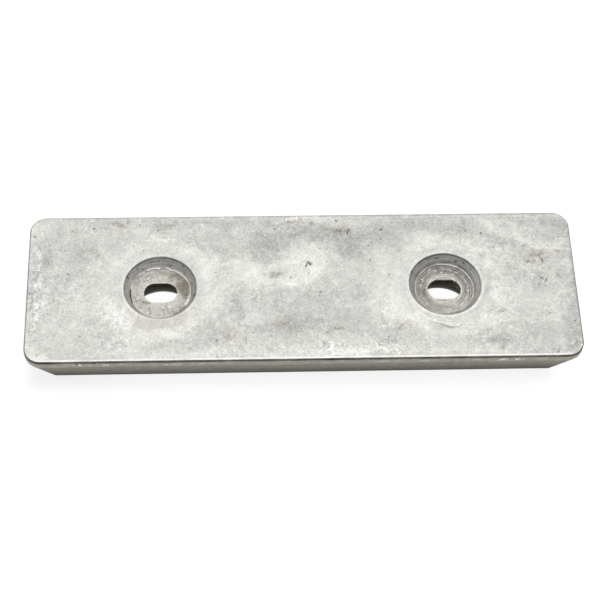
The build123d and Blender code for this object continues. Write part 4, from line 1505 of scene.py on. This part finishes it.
class ANODE_OT_casting(bpy.types.Operator):
    """Pour the alloy block: one closed skin with its pits, froth, scum and flash."""

    bl_idname = "anode.casting"
    bl_label = "Casting"

    def execute(self, context):
        scene = context.scene
        strap = scene.anode_strap
        s = Millimetres(
            scene.anode_casting, strap_top=strap.top, strap_foot=strap.foot,
            strap_span=strap.span, strap_width=strap.width,
        )
        points, quads, tris = casting_skin(s)
        relief, fields = casting_fields(s, points, casting_zones(s, points))
        points = points + normals_of(points, quads, tris) * relief[:, None]
        write_piece(
            "casting", points, quads, tris,
            alloy_finish(scene.anode_colours, s.hole_pitch / 2), fields,
            "anode_block",
        )
        return {"FINISHED"}


class ANODE_OT_strap(bpy.types.Operator):
    """Lay in the steel strap with its two bolt slots."""

    bl_idname = "anode.strap"
    bl_label = "Steel Strap"

    def execute(self, context):
        scene = context.scene
        s = Millimetres(scene.anode_strap, hole_pitch=scene.anode_casting.hole_pitch)
        points, quads, tris = strap_skin(s)
        relief, fields = strap_fields(s, points)
        points = points + normals_of(points, quads, tris) * relief[:, None]
        write_piece(
            "strap", points, quads, tris,
            steel_finish(scene.anode_colours, s.hole_pitch / 2), fields,
            "steel_strap",
        )
        return {"FINISHED"}


class ANODE_OT_stage(bpy.types.Operator):
    """Set up the floor, the dome light, the soft lamp and the camera."""

    bl_idname = "anode.stage"
    bl_label = "Stage"

    def execute(self, context):
        scene = context.scene
        stage = scene.anode_stage
        self.lay_floor(scene, stage)
        self.light_dome(scene, stage)
        self.hang_lamp(scene, stage)
        self.place_camera(scene, stage)
        scene.view_settings.view_transform = "Standard"
        return {"FINISHED"}

    def lay_floor(self, scene, stage):
        """A square floor under the outer face, white to a straight look, with the block's
        shadow on it and a painted shadow in its white close to the foot. What shows of it
        through the slots is fully white."""
        half, drop = stage.floor_size / 2, 0.04 * MM
        lines = np.linspace(-half, half, 9)
        sheet = at_height(np.stack(np.meshgrid(lines, lines), -1), -drop)
        quilt = Quilt()
        quilt.grid(sheet)
        mesh = bpy.data.meshes.new("floor")
        mesh.from_pydata(sheet.reshape(-1, 3).tolist(), [], quilt.quads[0].tolist())
        floor = bpy.data.objects.new("floor", mesh)
        scene.collection.objects.link(floor)
        bench = Bench("pale_floor")
        mesh.materials.append(bench.material)
        seen = white_to_the_eye(bench)
        place = millimetres(bench)
        x, y, _ = bench.split(place)
        glow, full = stage.floor_glow, 0.975
        foot_x, foot_y, shift, shade_width = 97.0, 24.0, 4.0, 11.0
        under = from_axis(bench, place, scene.anode_casting.hole_pitch / MM / 2).step(17.0, 15.0)

        # Painted shadow: the white is duller close to the foot, most of all at the left end, and
        # plain white beyond.
        beyond_x = (abs(x + shift) - foot_x).larger(0.0)
        beyond_y = (abs(y) - foot_y).larger(0.0)
        beyond = (beyond_x * beyond_x + beyond_y * beyond_y) ** 0.5
        foot_shadow_level = glow - x.step(-55.0, -100.0) * 0.05
        level = foot_shadow_level + beyond.step(0.0, shade_width) * (full - foot_shadow_level)
        white = bench.add("ShaderNodeCombineColor", {}, {0: level, 1: level, 2: level})
        white = bench.blend(under, white, (full, full, full, 1))
        white = bench.blend(seen, (0, 0, 0, 1), white)
        grey = stage.floor_grey
        bench.finish(
            Base_Color=(grey, grey, grey, 1), Roughness=1.0, Specular_IOR_Level=0.0,
            Emission_Color=white, Emission_Strength=1.0,
        )

    def light_dome(self, scene, stage):
        """Light from all round: white near the horizon, bright behind and overhead, and plainer
        in front, so that the metal has something to mirror."""
        world = bpy.data.worlds.new("dome")
        scene.world = world
        world.use_nodes = True
        bench = Bench("dome", world.node_tree)
        way = bench.add("ShaderNodeTexCoord", out="Generated")
        _, y, z = bench.split(way)
        level = y.step(-0.35, 0.55) * (stage.dome_back - stage.dome) + stage.dome
        level = level + (1.0 - level) * z.step(0.30, 0.12)
        dome = bench.add("ShaderNodeBackground", {}, {"Color": (1, 1, 1, 1), "Strength": level})
        bench.close("ShaderNodeOutputWorld", dome)

    def hang_lamp(self, scene, stage):
        """A broad, distant lamp, high up behind the block and a little to its right."""
        lamp = bpy.data.lights.new("soft_lamp", "SUN")
        lamp.angle, lamp.energy = math.radians(38), stage.lamp
        hung = bpy.data.objects.new("soft_lamp", lamp)
        place = Vector((0.45, 0.55, 1.6))
        turn = place.to_track_quat("Z", "Y").to_matrix().to_4x4()
        hung.matrix_world = Matrix.Translation(place) @ turn
        scene.collection.objects.link(hung)

    def place_camera(self, scene, stage):
        """A long lens from in front of the block, well above it and a little to its left."""
        camera = bpy.data.cameras.new("camera")
        camera.sensor_width, camera.lens = 36.0, stage.lens
        camera.clip_start, camera.clip_end = 0.01, 50.0
        seat = bpy.data.objects.new("camera", camera)
        right = Vector((0.99915, -0.03167, 0.02639))
        up = Vector((0.01302, 0.84983, 0.52690))
        back = Vector((-0.03911, -0.52611, 0.84952))
        turn = Matrix((right, up, back)).transposed().to_4x4()
        seat.matrix_world = Matrix.Translation(Vector((-0.02775, -0.36107, 0.59751))) @ turn
        scene.collection.objects.link(seat)
        scene.camera = seat


def white_to_the_eye(bench):
    """1 where a ray comes straight from the camera, or by way of metal or glass."""
    path = bench.tree.nodes.new("ShaderNodeLightPath")
    camera, glossy, glass = (
        Wire(bench, path.outputs[f"Is {kind} Ray"]) for kind in ("Camera", "Glossy", "Transmission")
    )
    return (camera + glossy + glass).smaller(1.0)


class ANODE_PT_panel(bpy.types.Panel):
    """The anode's operators and sizes."""

    bl_idname = "ANODE_PT_panel"
    bl_label = "Hull Anode"
    bl_space_type = "VIEW_3D"
    bl_region_type = "UI"
    bl_category = "Anode"

    def draw(self, context):
        layout, scene = self.layout, context.scene
        for operator, group in (
            (ANODE_OT_stage, scene.anode_stage), (ANODE_OT_casting, scene.anode_casting),
            (ANODE_OT_strap, scene.anode_strap),
        ):
            layout.operator(operator.bl_idname)
            for key in group.__annotations__:
                layout.prop(group, key)
        for key in scene.anode_colours.__annotations__:
            layout.prop(scene.anode_colours, key)


GROUPS = {
    "anode_casting": CastingSizes, "anode_strap": StrapSizes,
    "anode_colours": FinishColours, "anode_stage": StageSettings,
}
OPERATORS = (ANODE_OT_stage, ANODE_OT_casting, ANODE_OT_strap)


def register():
    """Adds the classes, and the settings to every scene."""
    for name, group in GROUPS.items():
        bpy.utils.register_class(group)
        setattr(bpy.types.Scene, name, PointerProperty(type=group))
    for kind in (*OPERATORS, ANODE_PT_panel):
        bpy.utils.register_class(kind)


def unregister():
    """Takes them away again."""
    for kind in (ANODE_PT_panel, *reversed(OPERATORS)):
        bpy.utils.unregister_class(kind)
    for name, group in reversed(list(GROUPS.items())):
        delattr(bpy.types.Scene, name)
        bpy.utils.unregister_class(group)


def main():
    """Builds the stage and both pieces."""
    register()
    bpy.ops.anode.stage()
    bpy.ops.anode.casting()
    bpy.ops.anode.strap()


if __name__ == "__main__":
    main()
